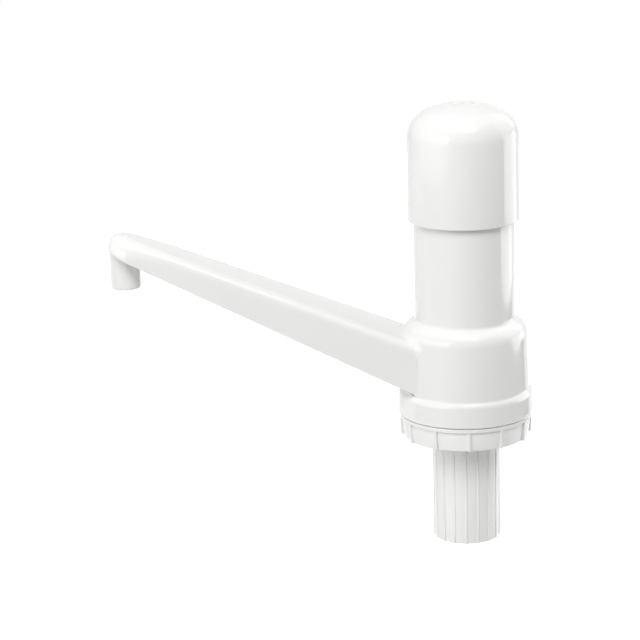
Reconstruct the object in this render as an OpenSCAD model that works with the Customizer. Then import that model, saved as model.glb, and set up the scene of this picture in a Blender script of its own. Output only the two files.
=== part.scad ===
// Bucket dosing pump: push-down piston pump that clamps in the lid of a bucket.
// Millimetres, +Z up. The origin is the centre of the foot flange's underside, which
// lies on the lid. The spout arm points along -X and rises towards its nozzle.

/* [Barrel and body] */
// Outer diameter of the pump barrel
barrel_d = 45.2; // [43:0.1:48]
// Wall of the barrel
barrel_wall = 2.4; // [1.8:0.1:3.2]
// Height of the shoulder that the barrel rises from
shoulder_z = 43.4; // [42:0.2:54]
// Rounding of the shoulder's edge
shoulder_round = 9; // [3:0.5:10]
// Hollow fillet where the barrel meets the shoulder
barrel_fillet = 1.2; // [0.5:0.1:1.8]
// Body diameter just above the flange
body_foot_d = 58; // [57:0.2:59.4]
// Body diameter at the shoulder
body_top_d = 56.4; // [55.6:0.2:57]
// Wall of the body
body_wall = 2.8; // [2.4:0.1:3.2]
// Chamfer at the top of the barrel, hidden in the cap
barrel_chamfer = 2; // [1:0.1:2.2]

/* [Foot flange] */
// Diameter of the flange
flange_d = 60.9; // [59.6:0.1:66]
// Height of the flange
flange_h = 12; // [11.4:0.2:14]
// Rounding of the flange's upper edge
flange_top_round = 3; // [1:0.1:3.4]
// Rounding of the flange's lower edge
flange_low_round = 0.8; // [0.5:0.1:2]

/* [Push cap] */
// Stroke of the plunger
stroke = 36; // [30:0.5:37]
// Space left between the cap's rim and the shoulder at full stroke
rim_stop_gap = 9.6; // [8.6:0.2:16]
// Height of the cap from its rim to its top
cap_h = 52.5; // [52:0.5:60]
// Wall of the cap's skirt
cap_wall = 2.15; // [1.6:0.05:2.4]
// Thickness of the cap's dome
cap_dome_wall = 2.4; // [2:0.1:3]
// Gap between the cap's skirt and the barrel
cap_gap = 0.3; // [0.2:0.05:0.5]
// How much the cap's radius shrinks from its rim to its dome
cap_draft = 0.35; // [0:0.05:0.5]
// Radius of the cap's rounded corner, seen from the side
cap_corner_r = 13.5; // [11:0.5:14]
// Radius of the cap's crown
cap_crown_r = 42; // [38:1:60]
// Diameter of the dimple on the cap
dimple_d = 10; // [6:0.5:14]
// Depth of the dimple
dimple_depth = 0.5; // [0.2:0.1:0.8]

/* [Spout arm] */
// Distance from the pump's axis to the nozzle's axis
arm_reach = 152.3; // [120:0.1:180]
// Rise of the arm's underside, in degrees
arm_slope = 26.15; // [20:0.05:30]
// Width of the arm at the body
arm_root_w = 36.2; // [33:0.1:40]
// Width of the arm at the nozzle
arm_tip_w = 22.8; // [22:0.2:30]
// Height of the arm at the body
arm_root_h = 22.9; // [21.6:0.1:24]
// Height of the arm at the nozzle
arm_tip_h = 10.6; // [10:0.1:16]
// Length of the arm past the nozzle's axis
arm_nose = 7.2; // [7.1:0.1:11]
// Rounding of the arm's upper edges, from the body on
arm_root_round = 2.2; // [1.5:0.1:5]
// Rounding of the arm's upper edges at the tip
arm_tip_round = 6.5; // [5:0.1:7]
// Distance before the nozzle's axis at which the upper edges start to grow rounder
arm_round_run = 14; // [8:0.5:30]
// Rounding of the arm's end, seen from above
arm_end_round = 8; // [6:0.5:10]
// How far the arm's end leans out above its lower edge
arm_end_lean = 0.3; // [0.2:0.1:1]
// Wall of the arm
arm_wall = 2.2; // [1.8:0.1:2.5]
// Thickness of the strip that closes the arm from below
floor_t = 2; // [1.5:0.1:2.5]
// Step from the flange's top to the arm's underside, where the arm's sides meet the body
arm_step = 0.5; // [0.3:0.1:3]

/* [Nozzle] */
// Outer diameter of the nozzle tube
nozzle_d = 13; // [11:0.1:14]
// Bore of the nozzle's mouth
nozzle_bore_d = 10.4; // [8:0.1:10.6]
// Depth of the nozzle's mouth bore
nozzle_bore_h = 8; // [6:0.5:8]
// Step between the mouth bore and the narrower bore above it
nozzle_step = 0.6; // [0.3:0.1:1]
// Reach of the nozzle below the arm, on its axis
nozzle_drop = 14.2; // [10:0.1:25]
// Radial width of the collar that keeps the nozzle in the arm
nozzle_collar_w = 1.6; // [1:0.1:2]
// Thickness of that collar
nozzle_collar_t = 1.6; // [1:0.1:2]

/* [Base plug and lid clamp] */
// Outer diameter of the threaded stub that goes through the lid
stub_d = 42; // [38:0.5:42.5]
// Length of the stub below the flange
stub_h = 11.5; // [9:0.5:11.5]
// Chamfer at the stub's end
stub_chamfer = 1; // [0.5:0.1:1.5]
// Height of the plug's seat in the body
plug_top = 10; // [9.4:0.2:11]
// Width of the step in the body that the plug seats against
plug_step = 0.8; // [0.5:0.1:1.2]
// Thickness of the plug's rim and floor
plug_wall = 2.5; // [2:0.1:3]
// Thickness of the lid gasket
gasket_t = 1.5; // [1.3:0.1:2.5]
// How far the gasket stands proud of the flange
gasket_proud = 0.3; // [0.1:0.05:0.6]
// Width of the lid gasket
gasket_w = 4.4; // [3.5:0.1:5]
// Section diameter of the plug's O-ring
oring_d = 2.3; // [1.8:0.1:2.6]

/* [Lid nut] */
// Outer diameter of the nut over its ribs
nut_d = 59.6; // [57:0.2:62]
// Diameter of the nut's panels at the lower edge
nut_low_d = 57.4; // [54:0.2:58.4]
// Diameter of the nut's panels under the rim
nut_panel_d = 58.4; // [55.4:0.2:59]
// Height of the nut
nut_h = 10.3; // [8:0.1:10.4]
// Height of the nut's plain rim
nut_rim_h = 1.4; // [1:0.1:2.5]
// Number of ribs on the nut
nut_ribs = 12; // [8:1:24]
// Width of a rib on the nut
nut_rib_w = 1.5; // [1:0.1:3]
// Angle of the first rib on the nut
nut_rib_phase = 29; // [0:1:29]
// Gap between the flange and the nut when it is screwed home
nut_gap = 0.6; // [0.6:0.1:1.5]
// Thickness of the slip washer
washer_t = 1.4; // [1:0.1:2]
// Width of the slip washer
washer_w = 4; // [3:0.1:4.6]

/* [Intake tube] */
// Diameter of the intake tube over its ribs
tube_d = 30.6; // [27:0.2:31]
// Lower end of the intake tube, below the flange
tube_drop = 59.3; // [45:0.1:90]
// Diameter of the tube's wall at the lower end
tube_low_d = 29.8; // [27.4:0.2:30]
// Depth of the wall below the rib tops at the stub
tube_top_step = 0.1; // [0.05:0.05:0.3]
// Bore for a dip tube
dip_bore_d = 25; // [22:0.5:25.5]
// Depth of that bore
dip_bore_h = 30; // [20:1:32]
// Bore above the stop that the dip tube meets
tube_bore_d = 23.6; // [18:0.2:24]
// Number of ribs on the tube
tube_ribs = 18; // [8:1:28]
// Width of a rib on the tube
tube_rib_w = 1.3; // [0.8:0.1:2]
// Angle of the first rib on the tube
tube_rib_phase = 6; // [0:1:19]
// How far the tube goes into the stub
tube_insert = 9.4; // [6:0.2:10]

/* [Plunger] */
// Diameter of the plunger's stem
stem_d = 18; // [14:0.5:19]
// Wall of the stem
stem_wall = 2.5; // [2:0.1:3]
// Solid length at the stem's lower end
stem_foot = 16; // [14:0.5:20]
// Wall of the cap's boss around the stem
boss_wall = 2.2; // [1.8:0.1:2.6]
// Height of the piston
piston_h = 11; // [10:0.5:12]
// Depth of the stem's socket in the piston
piston_socket = 5; // [4:0.5:6]
// Section diameter of a piston ring
ring_d = 2.2; // [1.8:0.1:2.4]
// Depth of the barrel collar in the barrel
collar_depth = 10; // [8:0.5:11]
// Thickness of the collar's guide web and wall
collar_web = 2.6; // [2.2:0.2:4]
// Thickness of the collar's lip on the barrel
collar_lip = 1; // [0.8:0.1:1.2]
// Diameter of the piston screw's shank
screw_d = 4; // [3:0.5:5]
// Length of the piston screw's shank
screw_h = 18; // [14:0.5:18]
// Diameter of the piston screw's head
screw_head_d = 9; // [7:0.5:10]
// Height of the piston screw's head
screw_head_h = 2.6; // [2:0.2:3.4]
// Length of the cross slots in the piston screw's head
screw_slot = 5.4; // [4:0.2:6]
// Width of those slots
screw_slot_w = 1; // [0.8:0.1:1.4]

/* [Spring] */
// Wire of the return spring
spring_wire = 1.6; // [1.2:0.1:2]
// Mean diameter of the return spring
spring_d = 27; // [25.4:0.2:28]
// Curls of the return spring
spring_turns = 9; // [6:1:10]
// Depth of the groove that seats the spring in the piston
spring_groove = 1; // [0.5:0.1:1.5]
// Space between the close curls at the spring's ends
spring_close_gap = 0.5; // [0.5:0.1:0.8]

/* [Valves] */
// Diameter of the inlet ball
inlet_ball_d = 15; // [13:0.2:15.6]
// Bore under the inlet ball
inlet_bore_d = 9.6; // [7.6:0.2:10]
// Lift of the inlet ball
inlet_lift = 3; // [2:0.2:4]
// Wall of the inlet cage
cage_wall = 1.8; // [1.4:0.1:2]
// Diameter of the outlet ball
outlet_ball_d = 10.4; // [9:0.1:10.8]
// Bore under the outlet ball
outlet_bore_d = 7; // [5.6:0.1:7.2]
// Travel of the outlet ball
outlet_lift = 3.5; // [2:0.1:4]
// Length of the outlet valve block
outlet_h = 19; // [18:0.5:24]
// Diameter of the pin that stops the outlet ball
stop_pin_d = 2.5; // [2:0.1:3]

/* [Clearances] */
// Gap between pieces that are pushed together
seat_gap = 0.1; // [0.05:0.05:0.15]
// Gap between pieces that slide or turn on each other
slide_gap = 0.3; // [0.2:0.05:0.4]
// Radial gap of a running fit
run_gap = 0.05; // [0.03:0.01:0.1]

/* [Hidden] */
$fn = 96;
white = "#f4f4f3";
natural = "#e6e6e0";
seal_black = "#2b2b2c";
steel = "#b9bcbf";
// Overlap of a cut past the face that it opens, and of pieces of one solid
past = 1;
// Thickness of the thin shapes that a hull is drawn over
sliver = 0.2;
// Least rounding of the upper edges inside the arm
inner_round = 1;

// Barrel and cap
barrel_r = barrel_d / 2;
bore_r = barrel_r - barrel_wall;
cap_rim_z = shoulder_z + rim_stop_gap + stroke;
cap_top_z = cap_rim_z + cap_h;
skirt_in_r = barrel_r + cap_gap;
cap_rim_r = skirt_in_r + cap_wall;
cap_side_r = cap_rim_r - cap_draft;
cap_ceiling_z = cap_top_z - cap_dome_wall;

// The dome's corner is an arc that is tangent to the crown and to the skirt
function corner_z(side_r, top_z, corner, crown) =
    top_z - crown + sqrt(pow(crown - corner, 2) - pow(side_r - corner, 2));
cap_corner_in = cap_corner_r - cap_wall;
cap_crown_in = cap_crown_r - cap_dome_wall;
cap_in_z = corner_z(skirt_in_r, cap_ceiling_z, cap_corner_in, cap_crown_in);
// Height of the dome's inner corner above a given radius
function cap_inside_z(r) =
    cap_in_z + sqrt(pow(cap_corner_in, 2) - pow(r - skirt_in_r + cap_corner_in, 2));
// The barrel's edge stays below the dome at full stroke
barrel_edge_z = cap_inside_z(barrel_r) - stroke - slide_gap;
barrel_top_z = barrel_edge_z + barrel_chamfer;

// Plunger column, from the collar down
collar_z = barrel_top_z - collar_depth;
piston_top_z = collar_z - slide_gap;
piston_z = piston_top_z - piston_h;
sleeve_z = piston_z - stroke - slide_gap - ring_d;
stem_r = stem_d / 2;
stem_z = piston_top_z - piston_socket;
stem_top_z = cap_top_z - cap_crown_r + sqrt(pow(cap_crown_in, 2) - pow(stem_r, 2)) - slide_gap;
boss_z = collar_z + collar_web + stroke + slide_gap;
boss_in_r = stem_r + seat_gap;
boss_out_r = boss_in_r + boss_wall;
ring_seat_r = bore_r - run_gap - ring_d - seat_gap;
piston_r = bore_r - slide_gap;
piston_ring_z = [piston_z + piston_h / 4, piston_z + piston_h * 3 / 4];

// Shoulder: centre of its rounding, and of the fillet that is tangent to it and to the barrel
shoulder_in_r = body_top_d / 2 - shoulder_round;
shoulder_in_z = shoulder_z - shoulder_round;
fillet_r = barrel_r + barrel_fillet;
fillet_z = shoulder_in_z
    + sqrt(pow(shoulder_round + barrel_fillet, 2) - pow(max(0, fillet_r - shoulder_in_r), 2));
// Roof of the cup, a wall's thickness below the shoulder's rounding
cup_roof_z = shoulder_in_z
    + sqrt(pow(shoulder_round - body_wall, 2) - pow(max(0, barrel_r - shoulder_in_r), 2));

// Cup of the body and base plug
cup_r = body_foot_d / 2 - body_wall;
cup_high_r = cup_r - plug_step;
cup_top_r = min(cup_high_r, body_top_d / 2 - body_wall);
plug_r = cup_r - seat_gap;
stub_r = stub_d / 2;
gasket_in_r = stub_r + seat_gap;
gasket_out_r = gasket_in_r + gasket_w;
gasket_seat_z = gasket_t - gasket_proud;
oring_seat_r = cup_r - oring_d - seat_gap;
oring_z = plug_top - plug_wall / 2 - oring_d / 2 - seat_gap;

// Inlet valve, whose ball rests on a 45 degree cone
inlet_r = inlet_ball_d / 2;
inlet_wall_r = inlet_r + slide_gap;
inlet_floor_z = -stub_h + tube_insert + seat_gap;
cone_z = inlet_floor_z + plug_wall + past;
cone_h = inlet_wall_r - inlet_bore_d / 2;
inlet_ball_z = cone_z - inlet_bore_d / 2 + inlet_r * sqrt(2) + seat_gap;
cage_top_z = inlet_ball_z + inlet_r + inlet_lift + slide_gap + cage_wall;
cage_out_r = inlet_wall_r + cage_wall;
cage_foot_r = spring_d / 2 + spring_wire / 2 + slide_gap;
cage_foot_z = plug_top + cage_wall;

// Spring between the cage's foot and the piston's groove
spring_r = spring_d / 2;
spring_low_z = cage_foot_z + seat_gap;
spring_high_z = piston_z + spring_groove - seat_gap;

// Lid clamp
tube_r = tube_d / 2;
tube_top_r = tube_r - tube_top_step;
tube_top_z = -stub_h + tube_insert;
nut_r = nut_d / 2;
washer_in_r = stub_r + slide_gap;
washer_out_r = washer_in_r + washer_w;
nut_seat_z = -nut_gap - washer_t - run_gap;

// Spout arm: s is the distance from the pump's axis along -X
arm_s0 = sqrt(pow(body_foot_d / 2, 2) - pow(arm_root_w / 2, 2));
arm_z0 = flange_h + arm_step;
arm_end = arm_reach + arm_nose;
function along(root, tip, s) = root + (tip - root) * (s - arm_s0) / (arm_reach - arm_s0);
function arm_half(s) = along(arm_root_w, arm_tip_w, s) / 2;
function arm_low(s) = arm_z0 + tan(arm_slope) * (s - arm_s0);
function arm_high(s) = arm_low(s) + along(arm_root_h, arm_tip_h, s);
arm_top_slope = atan(tan(arm_slope) + (arm_tip_h - arm_root_h) / (arm_reach - arm_s0));
arm_round_s = arm_reach - arm_round_run;
arm_tip_s = arm_end - arm_tip_round;
arm_corner_u = (arm_end - arm_end_lean - arm_s0) / cos(arm_slope) - arm_end_round;
arm_corner_s = arm_s0 + arm_corner_u * cos(arm_slope);
channel_s = barrel_r + 2 * slide_gap;
nozzle_r = nozzle_d / 2;
nozzle_z = arm_low(arm_reach) - nozzle_drop;
nozzle_u = (arm_reach - arm_s0) / cos(arm_slope);
nozzle_top_w = floor_t + seat_gap + nozzle_collar_t;
// The cut for the nozzle in the arm's end reaches as high as the nozzle's sloping top
nozzle_cut_z = arm_low(arm_reach + nozzle_r) + (nozzle_top_w + seat_gap) / cos(arm_slope);

// Outlet valve, in the arm's sloping frame: u runs up the underside, w is square to it
outlet_r = outlet_ball_d / 2;
outlet_wall_r = outlet_r + slide_gap;
outlet_cone_h = outlet_wall_r - outlet_bore_d / 2;
outlet_u = (body_foot_d / 2 - arm_s0) / cos(arm_slope) + 2 * slide_gap;
outlet_s = arm_s0 + (outlet_u + outlet_h / 2) * cos(arm_slope);
outlet_room = along(arm_root_h, arm_tip_h, outlet_s) * cos(arm_slope) - arm_wall - floor_t;
outlet_w = floor_t + outlet_room / 2;
outlet_seat_u = outlet_u + plug_wall;
outlet_ball_u = outlet_seat_u - outlet_bore_d / 2 + outlet_r * sqrt(2) + seat_gap;
stop_pin_r = stop_pin_d / 2;
stop_pin_u = outlet_ball_u + outlet_r + outlet_lift + slide_gap + stop_pin_r;

// Places its children in the arm's sloping frame, with -X up the slope
module on_slope(u = 0, w = 0) {
    translate([-arm_s0, 0, arm_z0]) rotate([0, arm_slope, 0]) translate([-u, 0, w]) children();
}

// Outline of a disc, from the axis to radius r, with rounded edges
module disc_profile(r, z0, z1, low_round, top_round) {
    translate([0, z0 + low_round]) square([r, z1 - z0 - low_round - top_round]);
    translate([0, z0]) square([r - low_round, z1 - z0]);
    translate([0, z0 + low_round]) square([r - top_round, z1 - z0 - low_round]);
    translate([r - low_round, z0 + low_round]) circle(low_round);
    translate([r - top_round, z1 - top_round]) circle(top_round);
}

// Outline of a ring, from radius r0 to r1
module ring_profile(r0, r1, z0, z1) {
    translate([r0, z0]) square([r1 - r0, z1 - z0]);
}

// Outline of a domed cap: a skirt, a corner arc and a crown that is tangent to it
module dome_profile(rim_r, side_r, rim_z, top_z, corner, crown) {
    bend_z = corner_z(side_r, top_z, corner, crown);
    crown_z = top_z - crown;
    reach = crown / (crown - corner);
    bend_r = (side_r - corner) * reach;
    polygon([[0, rim_z], [rim_r, rim_z], [side_r, bend_z], [side_r - corner, bend_z], [0, bend_z]]);
    intersection() {
        translate([side_r - corner, bend_z]) circle(corner);
        square([side_r, top_z]);
    }
    intersection() {
        translate([0, crown_z]) circle(crown, $fn = 2 * $fn);
        polygon([[0, bend_z], [side_r - corner, bend_z], [bend_r, crown_z + (bend_z - crown_z) * reach],
                 [bend_r, top_z], [0, top_z]]);
    }
}

// Upright ribs round the axis, cut off at an outer radius
module ribs(count, phase, w, r0, r1, z0, z1) {
    intersection() {
        for (i = [0 : count - 1])
            rotate(phase + i * 360 / count)
                translate([r0, -w / 2, z0]) cube([r1 - r0 + past, w, z1 - z0]);
        translate([0, 0, z0]) cylinder(r = r1, h = z1 - z0);
    }
}

// Balls that round the arm's two upper edges at s, drawn in by a wall
module arm_edges(s, round, inset) {
    r = max(round - inset, inner_round);
    for (side = [-1, 1])
        translate([-s, side * (arm_half(s) - inset - r), arm_high(s) - (inset + r) / cos(arm_top_slope)])
            sphere(r, $fn = r > inset ? 32 : 16);
}

// Form of the arm, drawn in by a wall: two rounded upper edges over a sharp-edged underside
module arm_form(inset, start, drop) {
    hull() {
        arm_edges(start, arm_root_round, inset);
        arm_edges(arm_round_s, arm_root_round, inset);
        arm_edges(arm_tip_s, arm_tip_round, inset);
        for (side = [-1, 1])
            translate([0, side * (arm_half(arm_corner_s) - arm_end_round), 0])
                on_slope(arm_corner_u, -drop)
                    cylinder(r = arm_end_round - inset, h = sliver, $fn = 32);
        on_slope((start - arm_s0 - drop * sin(arm_slope)) / cos(arm_slope), -drop)
            translate([-sliver, -arm_half(start) + inset, 0])
                cube([sliver, 2 * (arm_half(start) - inset), sliver]);
    }
}

// Outline of the body under its rounded shoulder, grown by a gap
module body_outline(grow) {
    foot_r = body_foot_d / 2 + grow;
    top_r = body_top_d / 2 + grow;
    polygon([[0, past], [foot_r, past], [foot_r, flange_h], [top_r, shoulder_in_z],
             [shoulder_in_r, shoulder_in_z], [shoulder_in_r, shoulder_z + grow], [0, shoulder_z + grow]]);
    translate([shoulder_in_r, shoulder_in_z]) circle(shoulder_round + grow);
}

// Barrel, shoulder, body and flange, with the port into the arm
module body_shell() {
    color(white) difference() {
        rotate_extrude() difference() {
            union() {
                disc_profile(flange_d / 2, 0, flange_h, flange_low_round, flange_top_round);
                body_outline(0);
                difference() {
                    polygon([[0, shoulder_in_z], [min(shoulder_in_r, fillet_r), shoulder_in_z],
                             [fillet_r, fillet_z], [0, fillet_z]]);
                    translate([fillet_r, fillet_z]) circle(barrel_fillet);
                }
                polygon([[0, shoulder_in_z], [barrel_r, shoulder_in_z], [barrel_r, barrel_edge_z],
                         [barrel_r - barrel_chamfer, barrel_top_z], [0, barrel_top_z]]);
            }
            ring_profile(0, cup_r, -past, plug_top);
            ring_profile(0, gasket_out_r + seat_gap, -past, gasket_seat_z);
            ring_profile(0, cup_high_r, 0, plug_top + past);
            polygon([[barrel_r, 0], [cup_high_r, 0], [cup_high_r, plug_top + past],
                     [cup_top_r, shoulder_in_z], [barrel_r, cup_roof_z]]);
            ring_profile(0, barrel_r, 0, sleeve_z);
            ring_profile(0, bore_r, 0, barrel_top_z + past);
        }
        arm_form(arm_wall, channel_s, past);
    }
}

// Hollow arm, open below and at its root, that butts against the body
module spout_arm() {
    color(white) difference() {
        arm_form(0, arm_s0, 0);
        rotate_extrude() body_outline(seat_gap);
        arm_form(arm_wall, channel_s, past);
        translate([-arm_reach, 0, nozzle_z]) cylinder(r = nozzle_r + seat_gap, h = nozzle_cut_z - nozzle_z);
    }
}

// Strip that closes the arm's channel from below, with a hole for the nozzle
module arm_floor() {
    inset = arm_wall + seat_gap;
    root_u = (channel_s + seat_gap - arm_s0) / cos(arm_slope) + floor_t * tan(arm_slope);
    root_half = arm_half(channel_s) - inset;
    corner_half = arm_half(arm_corner_s) - inset;
    corner = arm_end_round - inset;
    color(white) difference() {
        on_slope() linear_extrude(floor_t) {
            polygon([[-root_u, -root_half], [-root_u, root_half], [-arm_corner_u, corner_half],
                     [-arm_corner_u, -corner_half]]);
            translate([-arm_corner_u - corner, -corner_half + corner])
                square([corner + past, 2 * (corner_half - corner)]);
            for (side = [-1, 1])
                translate([-arm_corner_u, side * (corner_half - corner)]) circle(corner);
        }
        cylinder(r = cup_high_r, h = shoulder_z);
        translate([-arm_reach, 0, nozzle_z]) cylinder(r = nozzle_r + seat_gap, h = arm_end);
    }
}

// Upright round bar under the arm's tip, cut off level with the slope at height w
module nozzle_blank(r, w) {
    intersection() {
        translate([-arm_reach, 0, nozzle_z]) cylinder(r = r, h = arm_end);
        on_slope(nozzle_u, w) translate([-arm_end / 2, -arm_end / 2, -arm_end]) cube(arm_end);
    }
}

// Nozzle, kept in the arm by an open collar that lies on the floor strip
module nozzle_tube() {
    collar_r = nozzle_r + nozzle_collar_w;
    narrow_r = nozzle_bore_d / 2 - nozzle_step;
    color(white) difference() {
        union() {
            nozzle_blank(nozzle_r, nozzle_top_w);
            difference() {
                nozzle_blank(collar_r, nozzle_top_w);
                nozzle_blank(arm_end, floor_t + seat_gap);
                translate([-arm_reach - nozzle_r / 2 - arm_end, -arm_end / 2, 0]) cube(arm_end);
            }
        }
        translate([-arm_reach, 0, nozzle_z - past]) cylinder(d = nozzle_bore_d, h = nozzle_bore_h + past);
        translate([-arm_reach, 0, nozzle_z]) cylinder(r = narrow_r, h = arm_end);
    }
}

// Valve block that fills the arm's root, with the seat and the guide of the outlet ball
module outlet_seat() {
    color(natural) difference() {
        intersection() {
            arm_form(arm_wall + seat_gap, channel_s + seat_gap, 0);
            on_slope(outlet_u + outlet_h, floor_t + seat_gap)
                translate([0, -arm_root_w / 2, 0]) cube([outlet_h, arm_root_w, arm_root_h]);
        }
        on_slope(outlet_u - past, outlet_w) rotate([0, -90, 0]) cylinder(d = outlet_bore_d, h = outlet_h);
        on_slope(outlet_seat_u, outlet_w) rotate([0, -90, 0]) {
            cylinder(r1 = outlet_bore_d / 2, r2 = outlet_wall_r, h = outlet_cone_h);
            translate([0, 0, outlet_cone_h]) cylinder(r = outlet_wall_r, h = outlet_h);
        }
        on_slope(stop_pin_u, outlet_w) rotate([90, 0, 0])
            cylinder(r = stop_pin_r + run_gap, h = arm_root_w, center = true);
    }
}

module outlet_ball() {
    color(steel) on_slope(outlet_ball_u, outlet_w) sphere(outlet_r);
}

// Pin across the valve block, as long as the arm's channel is wide there
module ball_stop_pin() {
    pin_s = arm_s0 + (stop_pin_u + stop_pin_r) * cos(arm_slope);
    pin_half = arm_half(pin_s) - arm_wall - slide_gap;
    color(steel) on_slope(stop_pin_u, outlet_w) rotate([90, 0, 0])
        cylinder(r = stop_pin_r, h = 2 * pin_half, center = true);
}

// Plug that closes the body: rim with O-ring groove, valve seat, threaded stub and tube socket
module base_plug() {
    color(natural) rotate_extrude() difference() {
        union() {
            ring_profile(0, plug_r, gasket_seat_z, plug_top - seat_gap);
            polygon([[0, -stub_h], [stub_r - stub_chamfer, -stub_h], [stub_r, -stub_h + stub_chamfer],
                     [stub_r, gasket_seat_z + past], [0, gasket_seat_z + past]]);
        }
        ring_profile(oring_seat_r, cup_r, oring_z - oring_d / 2 - seat_gap, oring_z + oring_d / 2 + seat_gap);
        ring_profile(cage_foot_r, oring_seat_r - plug_wall / 2, gasket_seat_z + plug_wall, plug_top);
        ring_profile(0, tube_top_r + seat_gap, -stub_h - past, inlet_floor_z);
        ring_profile(0, inlet_bore_d / 2, inlet_floor_z - past, plug_top);
        polygon([[0, cone_z], [inlet_bore_d / 2, cone_z], [inlet_wall_r, cone_z + cone_h],
                 [inlet_wall_r, plug_top], [0, plug_top]]);
    }
}

module base_oring() {
    color(seal_black) rotate_extrude()
        translate([oring_seat_r + seat_gap / 2 + oring_d / 2, oring_z]) circle(d = oring_d);
}

module lid_gasket() {
    color(seal_black) rotate_extrude()
        ring_profile(gasket_in_r, gasket_out_r, -gasket_proud, gasket_seat_z);
}

// Intake tube: a wall that narrows downwards, with ribs of even height over all
module intake_tube() {
    rib_r0 = dip_bore_d / 2 + (tube_low_d - dip_bore_d) / 4;
    low_z = -tube_drop;
    color(white) {
        rotate_extrude() difference() {
            polygon([[0, low_z], [tube_low_d / 2, low_z], [tube_top_r, -stub_h], [tube_top_r, tube_top_z],
                     [0, tube_top_z]]);
            ring_profile(0, tube_bore_d / 2, low_z, tube_top_z + past);
            ring_profile(0, dip_bore_d / 2, low_z - past, low_z + dip_bore_h);
        }
        ribs(tube_ribs, tube_rib_phase, tube_rib_w, rib_r0, tube_r, low_z, -stub_h - slide_gap);
    }
}

// Cage over the inlet ball, with four windows, on a foot that carries the spring
module inlet_cage() {
    window_z = cage_foot_z + slide_gap;
    window_h = cage_top_z - cage_wall - window_z;
    color(natural) difference() {
        rotate_extrude() difference() {
            union() {
                ring_profile(0, cage_foot_r, plug_top, cage_foot_z);
                ring_profile(0, cage_out_r, plug_top, cage_top_z);
            }
            ring_profile(0, inlet_wall_r, plug_top - past, cage_top_z - cage_wall);
            ring_profile(0, inlet_r / 2, plug_top, cage_top_z + past);
        }
        for (turn = [45, 135])
            rotate(turn) translate([-cage_foot_r, -inlet_r / 2, window_z])
                cube([2 * cage_foot_r, inlet_r, window_h]);
    }
}

module inlet_ball() {
    color(steel) translate([0, 0, inlet_ball_z]) sphere(inlet_r);
}

// Collar in the top of the barrel: lip, sleeve and a web that guides the stem
module barrel_collar() {
    lip_r = barrel_r - barrel_chamfer;
    sleeve_r = bore_r - seat_gap;
    color(natural) rotate_extrude() {
        ring_profile(sleeve_r - collar_web, sleeve_r, collar_z, barrel_top_z + collar_lip);
        ring_profile(sleeve_r - collar_web, lip_r, barrel_top_z, barrel_top_z + collar_lip);
        ring_profile(stem_r + run_gap, sleeve_r, collar_z, collar_z + collar_web);
    }
}

// Return spring: one helix whose end curls lie close
spring_rings = 16;
spring_sides = 6;
spring_close = spring_wire + spring_close_gap;
spring_span = spring_high_z - spring_low_z - spring_wire;
spring_pitch = (spring_span - 2 * spring_close) / (spring_turns - 2);
function spring_z(t) = spring_low_z + spring_wire / 2
    + (t < 1 ? spring_close * t
      : t < spring_turns - 1 ? spring_close + spring_pitch * (t - 1)
      : spring_span - spring_close * (spring_turns - t));
spring_steps = spring_rings * spring_turns;
spring_path = [for (i = [0 : spring_steps])
    let (t = i / spring_rings) [spring_r * cos(360 * t), spring_r * sin(360 * t), spring_z(t)]];
// Least space between two stretches of wire that lie more than half a curl apart
spring_gap = min([for (i = [0 : spring_steps]) for (j = [i + spring_rings / 2 : 1 : spring_steps])
    norm(spring_path[j] - spring_path[i])]) - spring_wire;
echo(least_gap_in_spring = spring_gap);

module return_spring() {
    points = [for (i = [0 : spring_steps]) for (k = [0 : spring_sides - 1])
        let (a = 360 * i / spring_rings, b = 360 * k / spring_sides,
             r = spring_r + spring_wire / 2 * cos(b))
        [r * cos(a), r * sin(a), spring_path[i][2] + spring_wire / 2 * sin(b)]];
    function at(i, k) = i * spring_sides + k % spring_sides;
    walls = [for (i = [0 : spring_steps - 1]) for (k = [0 : spring_sides - 1])
        each [[at(i, k), at(i + 1, k), at(i + 1, k + 1)], [at(i, k), at(i + 1, k + 1), at(i, k + 1)]]];
    ends = [for (k = [1 : spring_sides - 2])
        each [[at(0, 0), at(0, k), at(0, k + 1)],
              [at(spring_steps, 0), at(spring_steps, k + 1), at(spring_steps, k)]]];
    color(steel) polyhedron(points, concat(walls, ends));
}

// Domed cap with a dimple on top and a boss for the stem inside
module push_cap() {
    dish_r = (pow(dimple_d / 2, 2) + pow(dimple_depth, 2)) / (2 * dimple_depth);
    color(white) difference() {
        rotate_extrude() {
            difference() {
                dome_profile(cap_rim_r, cap_side_r, cap_rim_z, cap_top_z, cap_corner_r, cap_crown_r);
                dome_profile(skirt_in_r, skirt_in_r, cap_rim_z - past, cap_ceiling_z, cap_corner_in,
                             cap_crown_in);
            }
            intersection() {
                ring_profile(boss_in_r, boss_out_r, boss_z, cap_top_z);
                dome_profile(cap_rim_r, cap_side_r, cap_rim_z, cap_top_z, cap_corner_r, cap_crown_r);
            }
        }
        translate([0, 0, cap_top_z - dimple_depth + dish_r]) sphere(dish_r);
    }
}

// Stem: a tube with a solid foot that takes the piston screw
module plunger_stem() {
    color(natural) rotate_extrude() difference() {
        ring_profile(0, stem_r, stem_z + seat_gap, stem_top_z);
        ring_profile(0, stem_r - stem_wall, stem_z + stem_foot, stem_top_z + past);
        ring_profile(0, screw_d / 2 + run_gap, stem_z, stem_top_z);
    }
}

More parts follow.
